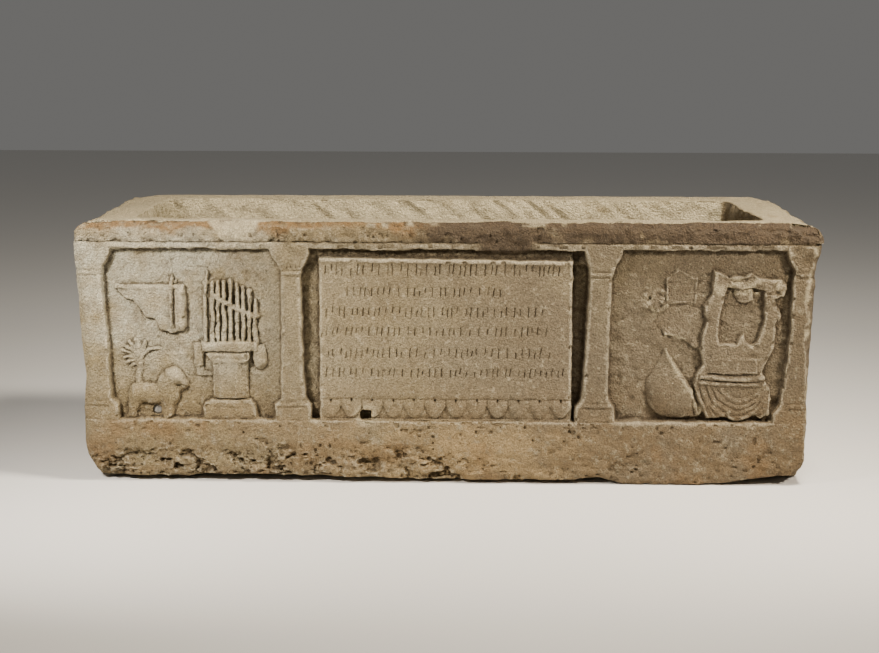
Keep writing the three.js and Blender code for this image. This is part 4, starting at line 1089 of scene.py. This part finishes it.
def settled(piece):
    """The piece with its modifiers turned into plain mesh."""
    bpy.context.view_layer.update()
    graph = bpy.context.evaluated_depsgraph_get()
    mesh = bpy.data.meshes.new_from_object(piece.evaluated_get(graph), depsgraph=graph)
    piece.modifiers.clear()
    old = piece.data
    piece.data = mesh
    bpy.data.meshes.remove(old)
    mesh.name = piece.name
    return piece


def box_limits(margin):
    """The solid's box less a margin, which is none at the foot and 1 mm at most on top."""
    low = np.array((LEFT + margin, FRONT + margin, 0.0))
    high = np.array((RIGHT - margin, BACK - margin, TOP - min(margin, 1.0)))
    return low, high


def carved_front(cell):
    """The front's flat grid of points, and the carving on it."""
    columns = round((RIGHT - LEFT) / cell)
    rows = round(TOP / cell)
    grid_x, grid_z = np.meshgrid(np.linspace(LEFT, RIGHT, columns + 1), np.linspace(0, TOP, rows + 1))
    flat = np.stack([grid_x, np.full(grid_x.shape, FRONT), grid_z], -1).reshape(-1, 3)
    placed = draw_in(flat, flat)
    c = Carving(placed[:, 0].reshape(grid_x.shape), placed[:, 2].reshape(grid_x.shape))
    for carve in (carve_architecture, carve_pilaster_lines, carve_band, carve_plaque, carve_case,
                  carve_palm, carve_ram, carve_organ, carve_tablet, carve_lute, carve_lyre,
                  carve_wear, carve_strokes, paint):
        carve(c)
    c.depth = np.clip(c.depth, 0, None) + SET_BACK
    return flat, grid_x, grid_z, c


def carried_round(side, grid_x, grid_z, depth):
    """How far back the carving's own edge draws the points of the sides that lie close behind it."""
    x, y, z = side.T
    drawn = np.zeros(len(side))
    for at, column in ((LEFT, 0), (RIGHT, -1)):
        here = np.interp(z, grid_z[:, column], depth[:, column])
        drawn = np.where(np.abs(x - at) < TOUCH, here, drawn)
    for at, row in ((0, 0), (TOP, -1)):
        here = np.interp(x, grid_x[row], depth[row])
        drawn = np.where(np.abs(z - at) < TOUCH, here, drawn)
    return drawn * (1 - ramp(y, FRONT, FRONT + 60))


def point_fields(c, cell, grid_z, side, inner):
    """What the colours, the grain and the thinning follow, on the front's points and then on the sides'."""
    x, y, z = side.T
    plain = np.zeros(len(side))
    full = np.ones(len(side))
    # Painted shade: points lying behind their neighbours, in creases, recesses and carved strokes, are
    # darkened; points standing before them, on raised arrises, are painted pale
    behind_rest = c.depth - softened(c.depth, 2)
    around = c.depth - softened(c.depth, max(1, round(14 / cell)))
    hollow = np.clip(behind_rest / 2.0, -1, 1) + 0.25 * np.clip(around / 12, -1, 1)
    hollow += 0.5 * c.kept * ramp(behind_rest, 0.4, 1.5)
    coarse = np.ones(grid_z.shape) - 0.75 * in_plaque(c)
    coarse += 0.6 * ramp(grid_z, BAND_FOOT - 4, BAND_FOOT + 4) + 0.5 * (1 - ramp(grid_z, 60, 150))
    in_walls = inner.astype(float)
    # Painted shade: the right inner wall is kept from the pale break colour and given a little crust colour
    shaded_wall = in_walls * ramp(x, CAVITY_RIGHT - 22, CAVITY_RIGHT - 4)
    # The floor behind the drain holes is painted dark: painted shade, so that the holes look black
    shade_behind_holes = in_walls * (1 - ramp(y, CAVITY_FRONT + 130, CAVITY_FRONT + 200)) * (z < CAVITY_FLOOR + 40)
    # Painted light: the rim's top and the cavity's walls are painted pale with the break colour
    rim_top_light = 0.55 * (np.abs(TOP - z) < TOUCH) * (1 - in_walls)
    return {
        "hollow": np.concatenate([hollow.ravel(), plain]),
        "fresh_and_lit": np.concatenate([c.fresh_and_lit.ravel(), in_walls * (1 - shaded_wall) * (1 - shade_behind_holes) + rim_top_light]),
        "stain": np.concatenate([c.stain.ravel(), 0.15 * (1 - in_walls)]),
        "crust_and_shade": np.concatenate([c.crust_and_shade.ravel(), np.maximum(0.25 * shaded_wall, shade_behind_holes)]),
        "coarse": np.concatenate([coarse.ravel(), full]),
        "thinned": np.concatenate([1.0 - c.kept.ravel(), full]),
    }


def carved_block(cell):
    """The whole trough as one closed mesh, with what its colours follow kept on its points."""
    front, grid_x, grid_z, c = carved_front(cell)
    side, side_quads, side_loop = coarse_sides()
    count = len(front)
    base = np.concatenate([front, side])
    x, y, z = base.T
    inner = within_cavity(x, y) & (z > CAVITY_FLOOR - 1)
    inner[:count] = False
    from_cavity = np.maximum.reduce([CAVITY_LEFT - x, x - CAVITY_RIGHT, CAVITY_FRONT - y, y - CAVITY_BACK])
    lip = ramp(z, TOP - 30, TOP) * np.exp(-(np.clip(from_cavity, 0, None) / 10) ** 2) * (y > FRONT + 40)
    points = wear_edges(base)
    points += wear_walls(base, inner, lip) - base
    points += wear_cavity(base) - base
    points += draw_in(base, base) - base
    points[:count, 1] += c.depth.ravel()
    points[count:, 1] += carried_round(side, grid_x, grid_z, c.depth)
    # Nothing stands outside the solid's own box
    points = np.clip(break_corners(points), *box_limits(SET_BACK))

    numbers = np.arange(count).reshape(grid_x.shape)
    corners = [numbers[:-1, :-1], numbers[:-1, 1:], numbers[1:, 1:], numbers[1:, :-1]]
    quads = np.concatenate([np.stack(corners, -1).reshape(-1, 4), side_quads + count])
    front_loop = [numbers[0], numbers[:, -1], numbers[-1, ::-1], numbers[::-1, 0]]
    triangles = []
    for fine, coarse in zip(front_loop, side_loop):
        triangles += zip_up(list(fine), [n + count for n in coarse], base)
    mesh = mesh_from("trough_stone", points, quads, np.array(triangles))
    check_closed(mesh)

    fields = point_fields(c, cell, grid_z, side, inner[count:])
    for name, values in fields.items():
        attribute = mesh.attributes.new(name, "FLOAT", "POINT")
        attribute.data.foreach_set("value", values.astype(np.float32))
    piece = linked("trough_stone", mesh)
    group = piece.vertex_groups.new(name="thinned")
    group.add([int(i) for i in np.flatnonzero(fields["thinned"] > 0.5)], 1.0, "REPLACE")
    return piece


def weathering_tree(material):
    """Geometry Nodes: grain and pits pushed into the surface along its normals, then the material."""
    tree = bpy.data.node_groups.new("stone_weathering", "GeometryNodeTree")
    tree.interface.new_socket("Geometry", in_out="INPUT", socket_type="NodeSocketGeometry")
    for name in ("Grain height", "Grain size", "Pit depth", "Pit size", "Seed"):
        tree.interface.new_socket(name, in_out="INPUT", socket_type="NodeSocketFloat")
    tree.interface.new_socket("Geometry", in_out="OUTPUT", socket_type="NodeSocketGeometry")
    given = add_node(tree, "NodeGroupInput").outputs
    position = add_node(tree, "GeometryNodeInputPosition").outputs[0]
    normal = add_node(tree, "GeometryNodeInputNormal").outputs[0]
    coarse = add_node(tree, "GeometryNodeInputNamedAttribute", {"Name": "coarse"},
                      data_type="FLOAT").outputs[0]
    # Grain stands above and below the surface, half each way
    grain_scale = add_node(tree, "ShaderNodeMath", {0: 1.0, 1: given["Grain size"]},
                           operation="DIVIDE").outputs[0]
    grain = add_node(tree, "ShaderNodeTexNoise",
                     {"Vector": position, "W": given["Seed"], "Scale": grain_scale, "Detail": 2.0},
                     noise_dimensions="4D").outputs[0]
    level = add_node(tree, "ShaderNodeMath", {0: grain, 1: 0.5}, operation="SUBTRACT").outputs[0]
    raised = add_node(tree, "ShaderNodeMath", {0: level, 1: given["Grain height"]},
                      operation="MULTIPLY").outputs[0]
    # A pit lies at the middle of each cell
    pit_scale = add_node(tree, "ShaderNodeMath", {0: 1.0, 1: given["Pit size"]},
                         operation="DIVIDE").outputs[0]
    cells = add_node(tree, "ShaderNodeTexVoronoi",
                     {"Vector": position, "W": given["Seed"], "Scale": pit_scale},
                     voronoi_dimensions="4D").outputs["Distance"]
    bottom = add_node(tree, "ShaderNodeMapRange", {"Value": cells, 1: 0.0, 2: 0.4, 3: 1.0, 4: 0.0}).outputs[0]
    pitted = add_node(tree, "ShaderNodeMath", {0: bottom, 1: given["Pit depth"]},
                      operation="MULTIPLY").outputs[0]
    amount = add_node(tree, "ShaderNodeMath", {0: raised, 1: pitted}, operation="SUBTRACT").outputs[0]
    here = add_node(tree, "ShaderNodeMath", {0: amount, 1: coarse}, operation="MULTIPLY").outputs[0]
    push = add_node(tree, "ShaderNodeVectorMath", {0: normal, "Scale": here}, operation="SCALE").outputs[0]
    moved = add_node(tree, "GeometryNodeSetPosition",
                     {"Geometry": given["Geometry"], "Offset": push}).outputs[0]
    whole = add_node(tree, "GeometryNodeRealizeInstances", {"Geometry": moved}).outputs[0]
    covered = add_node(tree, "GeometryNodeSetMaterial", {"Geometry": whole, "Material": material}).outputs[0]
    add_node(tree, "NodeGroupOutput", {"Geometry": covered})
    return tree


def weathered(piece, tree, sizes):
    """Gives a piece the weathering, with each named input set by its socket's identifier."""
    modifier = piece.modifiers.new("weathering", "NODES")
    modifier.node_group = tree
    for item in tree.interface.items_tree:
        if item.in_out == "INPUT" and item.name in sizes:
            modifier[item.identifier] = sizes[item.name]
    return settled(piece)


def limestone(settings):
    """Limestone, worked with point and claw chisel, then weathered: matt and grainy, pale where broken,
    honey brown where it has stained and almost black where a crust has grown. Painted shade darkens its
    hollows, pits, right inner wall and the floor behind the drains; painted light pales its arrises, rim top
    and cavity walls."""
    material = bpy.data.materials.new("limestone_chiselled_and_weathered")
    material.use_nodes = True
    tree = material.node_tree
    shader = tree.nodes["Principled BSDF"]
    place = add_node(tree, "ShaderNodeTexCoord").outputs["Object"]
    across, back, up = add_node(tree, "ShaderNodeSeparateXYZ", {0: place}).outputs
    fields = {"across": across, "back": back, "up": up}
    for name in ("hollow", "fresh_and_lit", "stain", "crust_and_shade", "coarse"):
        fields[name] = add_node(tree, "ShaderNodeAttribute", attribute_name=name).outputs["Fac"]

    # Each layer: colour, most it covers, width of its clouds in mm, the cloud values between which it grows,
    # and the fields that it keeps to, each with the values between which it fades in
    on_front = ("back", -0.30, -0.36)
    layers = (
        (linear("#a49a7e"), 0.5, 260, 0.42, 0.60),
        (settings.brown_colour, 0.9, 420, 0.15, 0.50, ("across", -0.80, 0.30), on_front),
        (linear("#645640"), 0.7, 120, 0.15, 0.45, ("across", 0.86, 1.02), on_front),
        (linear("#bdb8a2"), 0.9, 150, 0.36, 0.58, ("across", -0.46, -0.58), ("up", 0.26, 0.40), on_front),
        (linear("#7d6849"), 0.7, 130, 0.34, 0.56, ("up", 0.32, 0.16), on_front),
        (linear("#b59c70"), 0.6, 110, 0.34, 0.52, ("up", 0.20, 0.15), ("across", -0.42, -0.15),
         ("across", 0.5, 0.2)),
        (linear("#8d7a56"), 0.6, 90, 0.30, 0.55, ("up", 0.69, 0.72)),
        (linear("#665741"), 0.5, 40, 0.50, 0.66),
        (linear("#b8ad90"), 0.5, 20, 0.54, 0.68),
        # Painted highlight on raised arrises, together with their pale wear
        (linear("#cbbfa2"), 0.5, 22, 0.3, 0.5, ("hollow", -0.5, -1.25)),
        (settings.stain_colour, 0.9, 30, 0.28, 0.52, ("stain", 0.1, 0.9)),
        # Painted shade: sparse dark specks that stand for the shadow inside small pits
        (linear("#473a2a"), 0.8, 11, 0.63, 0.70, on_front),
        # Pale break colour: on new breaks, and painted light on the rim's top and the cavity's walls
        (settings.break_and_light_colour, 1.0, 60, 0.25, 0.42, ("fresh_and_lit", 0.0, 1.0)),
        (linear("#8c8065"), 0.5, 34, 0.50, 0.62, ("fresh_and_lit", 0.3, 1.0)),
        # Crust on the band, and painted shade on the right inner wall and on the floor behind the drain holes
        (linear("#524433"), 0.92, 60, 0.15, 0.36, ("crust_and_shade", 0.05, 0.4)),
        (settings.crust_and_shade_colour, 0.85, 10, 0.46, 0.62, ("crust_and_shade", 0.3, 1.0)),
        # Painted shade in the carving's hollows and creases, with some dirt
        (settings.dirt_and_shade_colour, 0.75, 16, 0.2, 0.5, ("hollow", 0.36, 1.1)),
    )
    colour = (*settings.stone_colour, 1)
    for tint, most, width, low, high, *limits in layers:
        cloud = add_node(tree, "ShaderNodeTexNoise",
                         {"Vector": place, "Scale": 1 / (width * MM), "Detail": 6.0,
                          "Roughness": 0.66}).outputs[0]
        amount = add_node(tree, "ShaderNodeMapRange",
                          {"Value": cloud, 1: low, 2: high, 3: 0.0, 4: most}).outputs[0]
        for name, begin, full in limits:
            within = add_node(tree, "ShaderNodeMapRange",
                              {"Value": fields[name], 1: begin, 2: full}).outputs[0]
            amount = add_node(tree, "ShaderNodeMath", {0: amount, 1: within}, operation="MULTIPLY").outputs[0]
        colour = add_node(tree, "ShaderNodeMix", {0: amount, 6: colour, 7: (*tint, 1)}, data_type="RGBA",
                          clamp_factor=True).outputs[2]
    # Grains of 3 mm and blotches of 9 mm, drawn coarser than the real half millimetre so that they show
    for width, least, most in ((3.0, 0.64, 1.34), (9.0, 0.86, 1.14)):
        cloud = add_node(tree, "ShaderNodeTexNoise",
                         {"Vector": place, "Scale": 1 / (width * MM), "Detail": 3.0,
                          "Roughness": 0.7}).outputs[0]
        speckle = add_node(tree, "ShaderNodeMapRange",
                           {"Value": cloud, 1: 0.36, 2: 0.64, 3: least, 4: most}).outputs[0]
        colour = add_node(tree, "ShaderNodeMix", {0: 1.0, 6: colour, 7: speckle}, data_type="RGBA",
                          blend_type="MULTIPLY").outputs[2]
    # Marks of the point, 7 mm apart, under a rough grain of 5 mm; both are drawn coarser than the real grit
    marks = add_node(tree, "ShaderNodeTexVoronoi",
                     {"Vector": place, "Scale": 1 / (7.0 * MM)}).outputs["Distance"]
    grain = add_node(tree, "ShaderNodeTexNoise",
                     {"Vector": place, "Scale": 1 / (5.0 * MM), "Detail": 4.0, "Roughness": 0.7}).outputs[0]
    height = add_node(tree, "ShaderNodeMath", {0: marks, 1: 0.45, 2: grain},
                      operation="MULTIPLY_ADD").outputs[0]
    # The plaque was rubbed smoother than the rest
    strength = add_node(tree, "ShaderNodeMapRange",
                        {"Value": fields["coarse"], 1: 0.2, 2: 1.0, 3: 0.8, 4: 1.0}).outputs[0]
    bump = add_node(tree, "ShaderNodeBump",
                    {"Strength": strength, "Distance": 0.016, "Height": height}).outputs[0]
    tree.links.new(colour, shader.inputs["Base Color"])
    tree.links.new(bump, shader.inputs["Normal"])
    shader.inputs["Roughness"].default_value = 0.92
    shader.inputs["IOR"].default_value = 1.5
    shader.inputs["Specular IOR Level"].default_value = 0.35
    return material


def cast_lead(settings):
    """Lead, run in molten and hammered flat: a dull blue-grey skin with soft dents."""
    material = bpy.data.materials.new("lead_poured_and_hammered")
    material.use_nodes = True
    tree = material.node_tree
    shader = tree.nodes["Principled BSDF"]
    place = add_node(tree, "ShaderNodeTexCoord").outputs["Object"]
    # Dents about 6 mm across
    dents = add_node(tree, "ShaderNodeTexNoise", {"Vector": place, "Scale": 160.0, "Detail": 3.0}).outputs[0]
    colour = add_node(tree, "ShaderNodeMix",
                      {0: dents, 6: (*linear("#6f6c68"), 1), 7: (*settings.lead_colour, 1)},
                      data_type="RGBA").outputs[2]
    bump = add_node(tree, "ShaderNodeBump", {"Strength": 0.6, "Distance": 0.001, "Height": dents}).outputs[0]
    tree.links.new(colour, shader.inputs["Base Color"])
    tree.links.new(bump, shader.inputs["Normal"])
    shader.inputs["Metallic"].default_value = 0.85
    shader.inputs["Roughness"].default_value = 0.5
    return material


def hole_cutters():
    """The two drain holes as solids to take out of the front wall."""
    left, right, foot, top = SQUARE_HOLE
    # The square one has lost its upper left corner
    square = [(right, foot), (right + 0.5, top), (left + 9, top + 0.5), (left + 3, top - 4),
              (left, (foot + top) / 2), (left + 2.5, foot + 5), (left + 9, foot)]
    cx, cz = ROUND_HOLE
    radius = PLUG_RADIUS + PLUG_GAP
    angles = [2 * math.pi * i / 28 for i in range(28)]
    ring = [(cx + radius * math.cos(angle), cz + radius * math.sin(angle)) for angle in angles]
    cutters = []
    for name, outline in (("square_hole", square), ("round_hole", ring)):
        n = len(outline)
        points = [(x, y, z) for y in (FRONT - 20, CAVITY_FRONT + 14) for x, z in outline]
        faces = [tuple(range(n)), tuple(reversed(range(n, 2 * n)))]
        faces += [((i + 1) % n, i, n + i, n + (i + 1) % n) for i in range(n)]
        mesh = bpy.data.meshes.new(name)
        mesh.from_pydata([Vector(point) * MM for point in points], [], faces)
        face_outward(mesh)
        cutters.append(linked(name, mesh))
    return cutters


def tint(name, description, hex_colour):
    """A colour that the user can change, given as sRGB hex."""
    return FloatVectorProperty(name=name, description=description, subtype="COLOR", size=3,
                               default=linear(hex_colour), min=0, max=1)


class StoneSettings(bpy.types.PropertyGroup):
    """Sizes and colours of the stone and of the lead that closes its drain."""
    stone_colour: tint("Stone", "Colour of the plain limestone", "#938462")
    brown_colour: tint("Brown", "Colour that the stone has aged to towards its right", "#726653")
    stain_colour: tint("Stain", "Orange brown stain under the rim", "#84663f")
    # Also paints the shade on the floor behind the drain holes
    crust_and_shade_colour: tint("Crust", "Dark crust on the rim band", "#3f3429")
    # Also paints the light on the rim's top and the cavity's walls
    break_and_light_colour: tint("Break", "Pale stone where it is newly broken", "#c7ba98")
    # Paints the shade in the carving's hollows as well as their dirt
    dirt_and_shade_colour: tint("Dirt", "Dirt in the hollows of the carving", "#4c3f2d")
    lead_colour: tint("Lead", "Pale grey of the lead's high spots", "#b4b2ac")
    cell: FloatProperty(name="Carving cell", description="Grid spacing on the carved front", unit="LENGTH",
                        default=0.0020, min=0.001, precision=4)
    triangles: IntProperty(name="Triangles", description="Most triangles the finished trough may have",
                           default=188000, min=20000, max=199000)
    grain_height: FloatProperty(name="Grain height", description="Height of the stone's grain", unit="LENGTH",
                                default=0.0036, precision=4)
    grain_size: FloatProperty(name="Grain size", description="Width of one swell of the grain", unit="LENGTH",
                              default=0.012, precision=4)
    pit_depth: FloatProperty(name="Pit depth", description="Depth of the small pits", unit="LENGTH",
                             default=0.0012, precision=4)
    pit_size: FloatProperty(name="Pit spacing", description="Distance between small pits", unit="LENGTH",
                            default=0.020, precision=4)


class StageSettings(bpy.types.PropertyGroup):
    """Colour and lights of the plain studio."""
    floor_colour: tint("Floor", "Colour of the plain floor", "#d8d6d2")
    left_power: FloatProperty(name="Left light", description="Power of the left key light", unit="POWER",
                              default=21.0, min=0)
    right_power: FloatProperty(name="Right light", description="Power of the right key light", unit="POWER",
                               default=13.0, min=0)
    top_power: FloatProperty(name="Top light", description="Power of the overhead light", unit="POWER",
                             default=215.0, min=0)
    air: FloatProperty(name="Ambient", description="Strength of the even light all round",
                       default=0.17, min=0)


class SARCOPHAGUS_OT_trough(bpy.types.Operator):
    """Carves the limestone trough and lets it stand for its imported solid"""
    bl_idname = "sarcophagus.trough"
    bl_label = "Carve the trough"

    def execute(self, context):
        settings = context.scene.sarcophagus_stone
        stone = limestone(settings)
        piece = carved_block(settings.cell / MM)
        fewer = piece.modifiers.new("fewer", "DECIMATE")
        loose = sum(len(p.vertices) - 2 for p in piece.data.polygons)
        fewer.ratio = settings.triangles / loose
        fewer.vertex_group = "thinned"
        settled(piece)
        piece.vertex_groups.clear()
        sizes = {"Grain height": settings.grain_height, "Grain size": settings.grain_size,
                 "Pit depth": settings.pit_depth, "Pit size": settings.pit_size, "Seed": 3.0}
        weathered(piece, weathering_tree(stone), sizes)
        # Grain that rose past the solid's box is rubbed level with it
        places = np.zeros(3 * len(piece.data.vertices), np.float32)
        piece.data.vertices.foreach_get("co", places)
        low, high = box_limits(0.1)
        places = np.clip(places.reshape(-1, 3), low * MM, high * MM)
        piece.data.vertices.foreach_set("co", places.astype(np.float32).ravel())
        cutters = hole_cutters()
        for cutter in cutters:
            hole = piece.modifiers.new(cutter.name, "BOOLEAN")
            hole.operation = "DIFFERENCE"
            hole.object = cutter
        settled(piece)
        for cutter in cutters:
            bpy.data.objects.remove(cutter)
        mesh = piece.data
        mend_edges(mesh)
        check_closed(mesh)
        mesh.materials.clear()
        mesh.materials.append(stone)
        mesh.polygons.foreach_set("material_index", np.zeros(len(mesh.polygons), np.int32))
        mesh.polygons.foreach_set("use_smooth", np.ones(len(mesh.polygons), bool))
        mesh.set_sharp_from_angle(angle=math.radians(55))
        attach(piece, "root")
        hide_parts("trough")
        return {"FINISHED"}


class SARCOPHAGUS_OT_plug(bpy.types.Operator):
    """Makes the lead plug that closes the round drain hole"""
    bl_idname = "sarcophagus.plug"
    bl_label = "Make the drain plug"

    def execute(self, context):
        cx, cz = ROUND_HOLE
        radius = PLUG_RADIUS
        front, back = PLUG_LOW.y / MM, PLUG_HIGH.y / MM
        sides, rings = 40, 7
        points = []
        # Rings run from the domed middle of the face, over its rounded edge, to the back
        profile = [(radius * i / rings, front + 2.4 * (i / rings) ** 2) for i in range(1, rings)]
        profile += [(radius - 0.6, front + 3.2), (radius, front + 5.0)]
        profile += [(radius, back - 1.5), (radius - 1.5, back)]
        for r, depth in profile:
            for i in range(sides):
                angle = 2 * math.pi * i / sides
                px, pz = cx + r * math.cos(angle), cz + r * math.sin(angle)
                dent = 0.5 * (noise(131, 9, np.array(px), np.array(pz)) + 1) * (depth < front + 4)
                points.append((px, depth + 1.4 * float(dent), pz))
        points += [(cx, front + 0.6, cz), (cx, back, cz)]
        count = len(profile)
        quads, triangles = [], []
        for i in range(sides):
            j = (i + 1) % sides
            for ring in range(count - 1):
                a, b = ring * sides, (ring + 1) * sides
                quads.append((a + i, a + j, b + j, b + i))
            triangles.append((len(points) - 2, j, i))
            last = (count - 1) * sides
            triangles.append((len(points) - 1, last + i, last + j))
        mesh = mesh_from("lead_plug", np.array(points), np.array(quads), np.array(triangles))
        face_outward(mesh)
        check_closed(mesh)
        mesh.polygons.foreach_set("use_smooth", np.ones(len(mesh.polygons), bool))
        mesh.materials.append(cast_lead(context.scene.sarcophagus_stone))
        piece = linked("lead_plug", mesh)
        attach(piece, "root")
        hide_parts("drain_plug")
        return {"FINISHED"}


class SARCOPHAGUS_OT_stage(bpy.types.Operator):
    """Lays the pale floor and sets the soft lights and the camera"""
    bl_idname = "sarcophagus.stage"
    bl_label = "Set the stage"

    def execute(self, context):
        settings = context.scene.sarcophagus_stage
        floor_mesh = bpy.data.meshes.new("floor")
        corners = [(x * FLOOR_REACH, y * FLOOR_REACH, 0) for x, y in ((-1, -1), (1, -1), (1, 1), (-1, 1))]
        floor_mesh.from_pydata(corners, [], [(0, 1, 2, 3)])
        floor = linked("floor", floor_mesh)
        paint_coat = bpy.data.materials.new("floor_matt_paint")
        paint_coat.use_nodes = True
        shader = paint_coat.node_tree.nodes["Principled BSDF"]
        shader.inputs["Base Color"].default_value = (*settings.floor_colour, 1)
        shader.inputs["Roughness"].default_value = 0.9
        floor_mesh.materials.append(paint_coat)

        def light(name, place, target, size, power, spread, hex_colour):
            lamp = bpy.data.lights.new(name, "AREA")
            lamp.shape = "SQUARE"
            lamp.size = size
            lamp.energy = power
            lamp.spread = math.radians(spread)
            lamp.color = linear(hex_colour)
            made = bpy.data.objects.new(name, lamp)
            made.location = place
            aim = Vector(target) - Vector(place)
            made.rotation_euler = aim.to_track_quat("-Z", "Y").to_euler()
            context.scene.collection.objects.link(made)

        light("key_left", (-1.55, -1.7, 1.45), (-0.75, -0.4, 0.40), 0.32, settings.left_power, 90, "#fff6ea")
        light("key_right", (1.9, -1.5, 1.40), (0.75, -0.4, 0.40), 0.26, settings.right_power, 90, "#fff0dc")
        light("top", (1.2, -1.0, 3.2), (-0.1, 0.3, 0.7), 0.8, settings.top_power, 180, "#fff4e2")
        world = bpy.data.worlds.new("soft_air")
        world.use_nodes = True
        world.node_tree.nodes["Background"].inputs["Color"].default_value = (*linear("#f2f0ec"), 1)
        world.node_tree.nodes["Background"].inputs["Strength"].default_value = settings.air
        context.scene.world = world

        lens = bpy.data.cameras.new("camera")
        lens.sensor_width = CAMERA_SENSOR
        lens.lens = CAMERA_LENS
        lens.clip_start, lens.clip_end = 0.05, 100
        camera = bpy.data.objects.new("camera", lens)
        camera.matrix_world = (Matrix.Translation(CAMERA_PLACE)
                               @ Matrix.Rotation(math.radians(CAMERA_TURN), 4, "Z")
                               @ Matrix.Rotation(math.radians(90 - CAMERA_DIP), 4, "X")
                               @ Matrix.Rotation(math.radians(CAMERA_ROLL), 4, "Z"))
        context.scene.collection.objects.link(camera)
        context.scene.camera = camera
        return {"FINISHED"}


class VIEW3D_PT_sarcophagus(bpy.types.Panel):
    """Lists the sizes, colours and lights, and the operators that make each piece"""
    bl_label = "Sarcophagus"
    bl_space_type = "VIEW_3D"
    bl_region_type = "UI"
    bl_category = "Sarcophagus"

    def draw(self, context):
        for group in (context.scene.sarcophagus_stone, context.scene.sarcophagus_stage):
            for name in group.__annotations__:
                self.layout.prop(group, name)
        for operator in (SARCOPHAGUS_OT_trough, SARCOPHAGUS_OT_plug, SARCOPHAGUS_OT_stage):
            self.layout.operator(operator.bl_idname)


CLASSES = (StoneSettings, StageSettings, SARCOPHAGUS_OT_trough, SARCOPHAGUS_OT_plug, SARCOPHAGUS_OT_stage,
           VIEW3D_PT_sarcophagus)


def register():
    for cls in CLASSES:
        bpy.utils.register_class(cls)
    bpy.types.Scene.sarcophagus_stone = PointerProperty(type=StoneSettings)
    bpy.types.Scene.sarcophagus_stage = PointerProperty(type=StageSettings)


def unregister():
    del bpy.types.Scene.sarcophagus_stone
    del bpy.types.Scene.sarcophagus_stage
    for cls in reversed(CLASSES):
        bpy.utils.unregister_class(cls)


def main():
    register()
    bpy.ops.sarcophagus.trough()
    bpy.ops.sarcophagus.plug()
    bpy.ops.sarcophagus.stage()


if __name__ == "__main__":
    main()
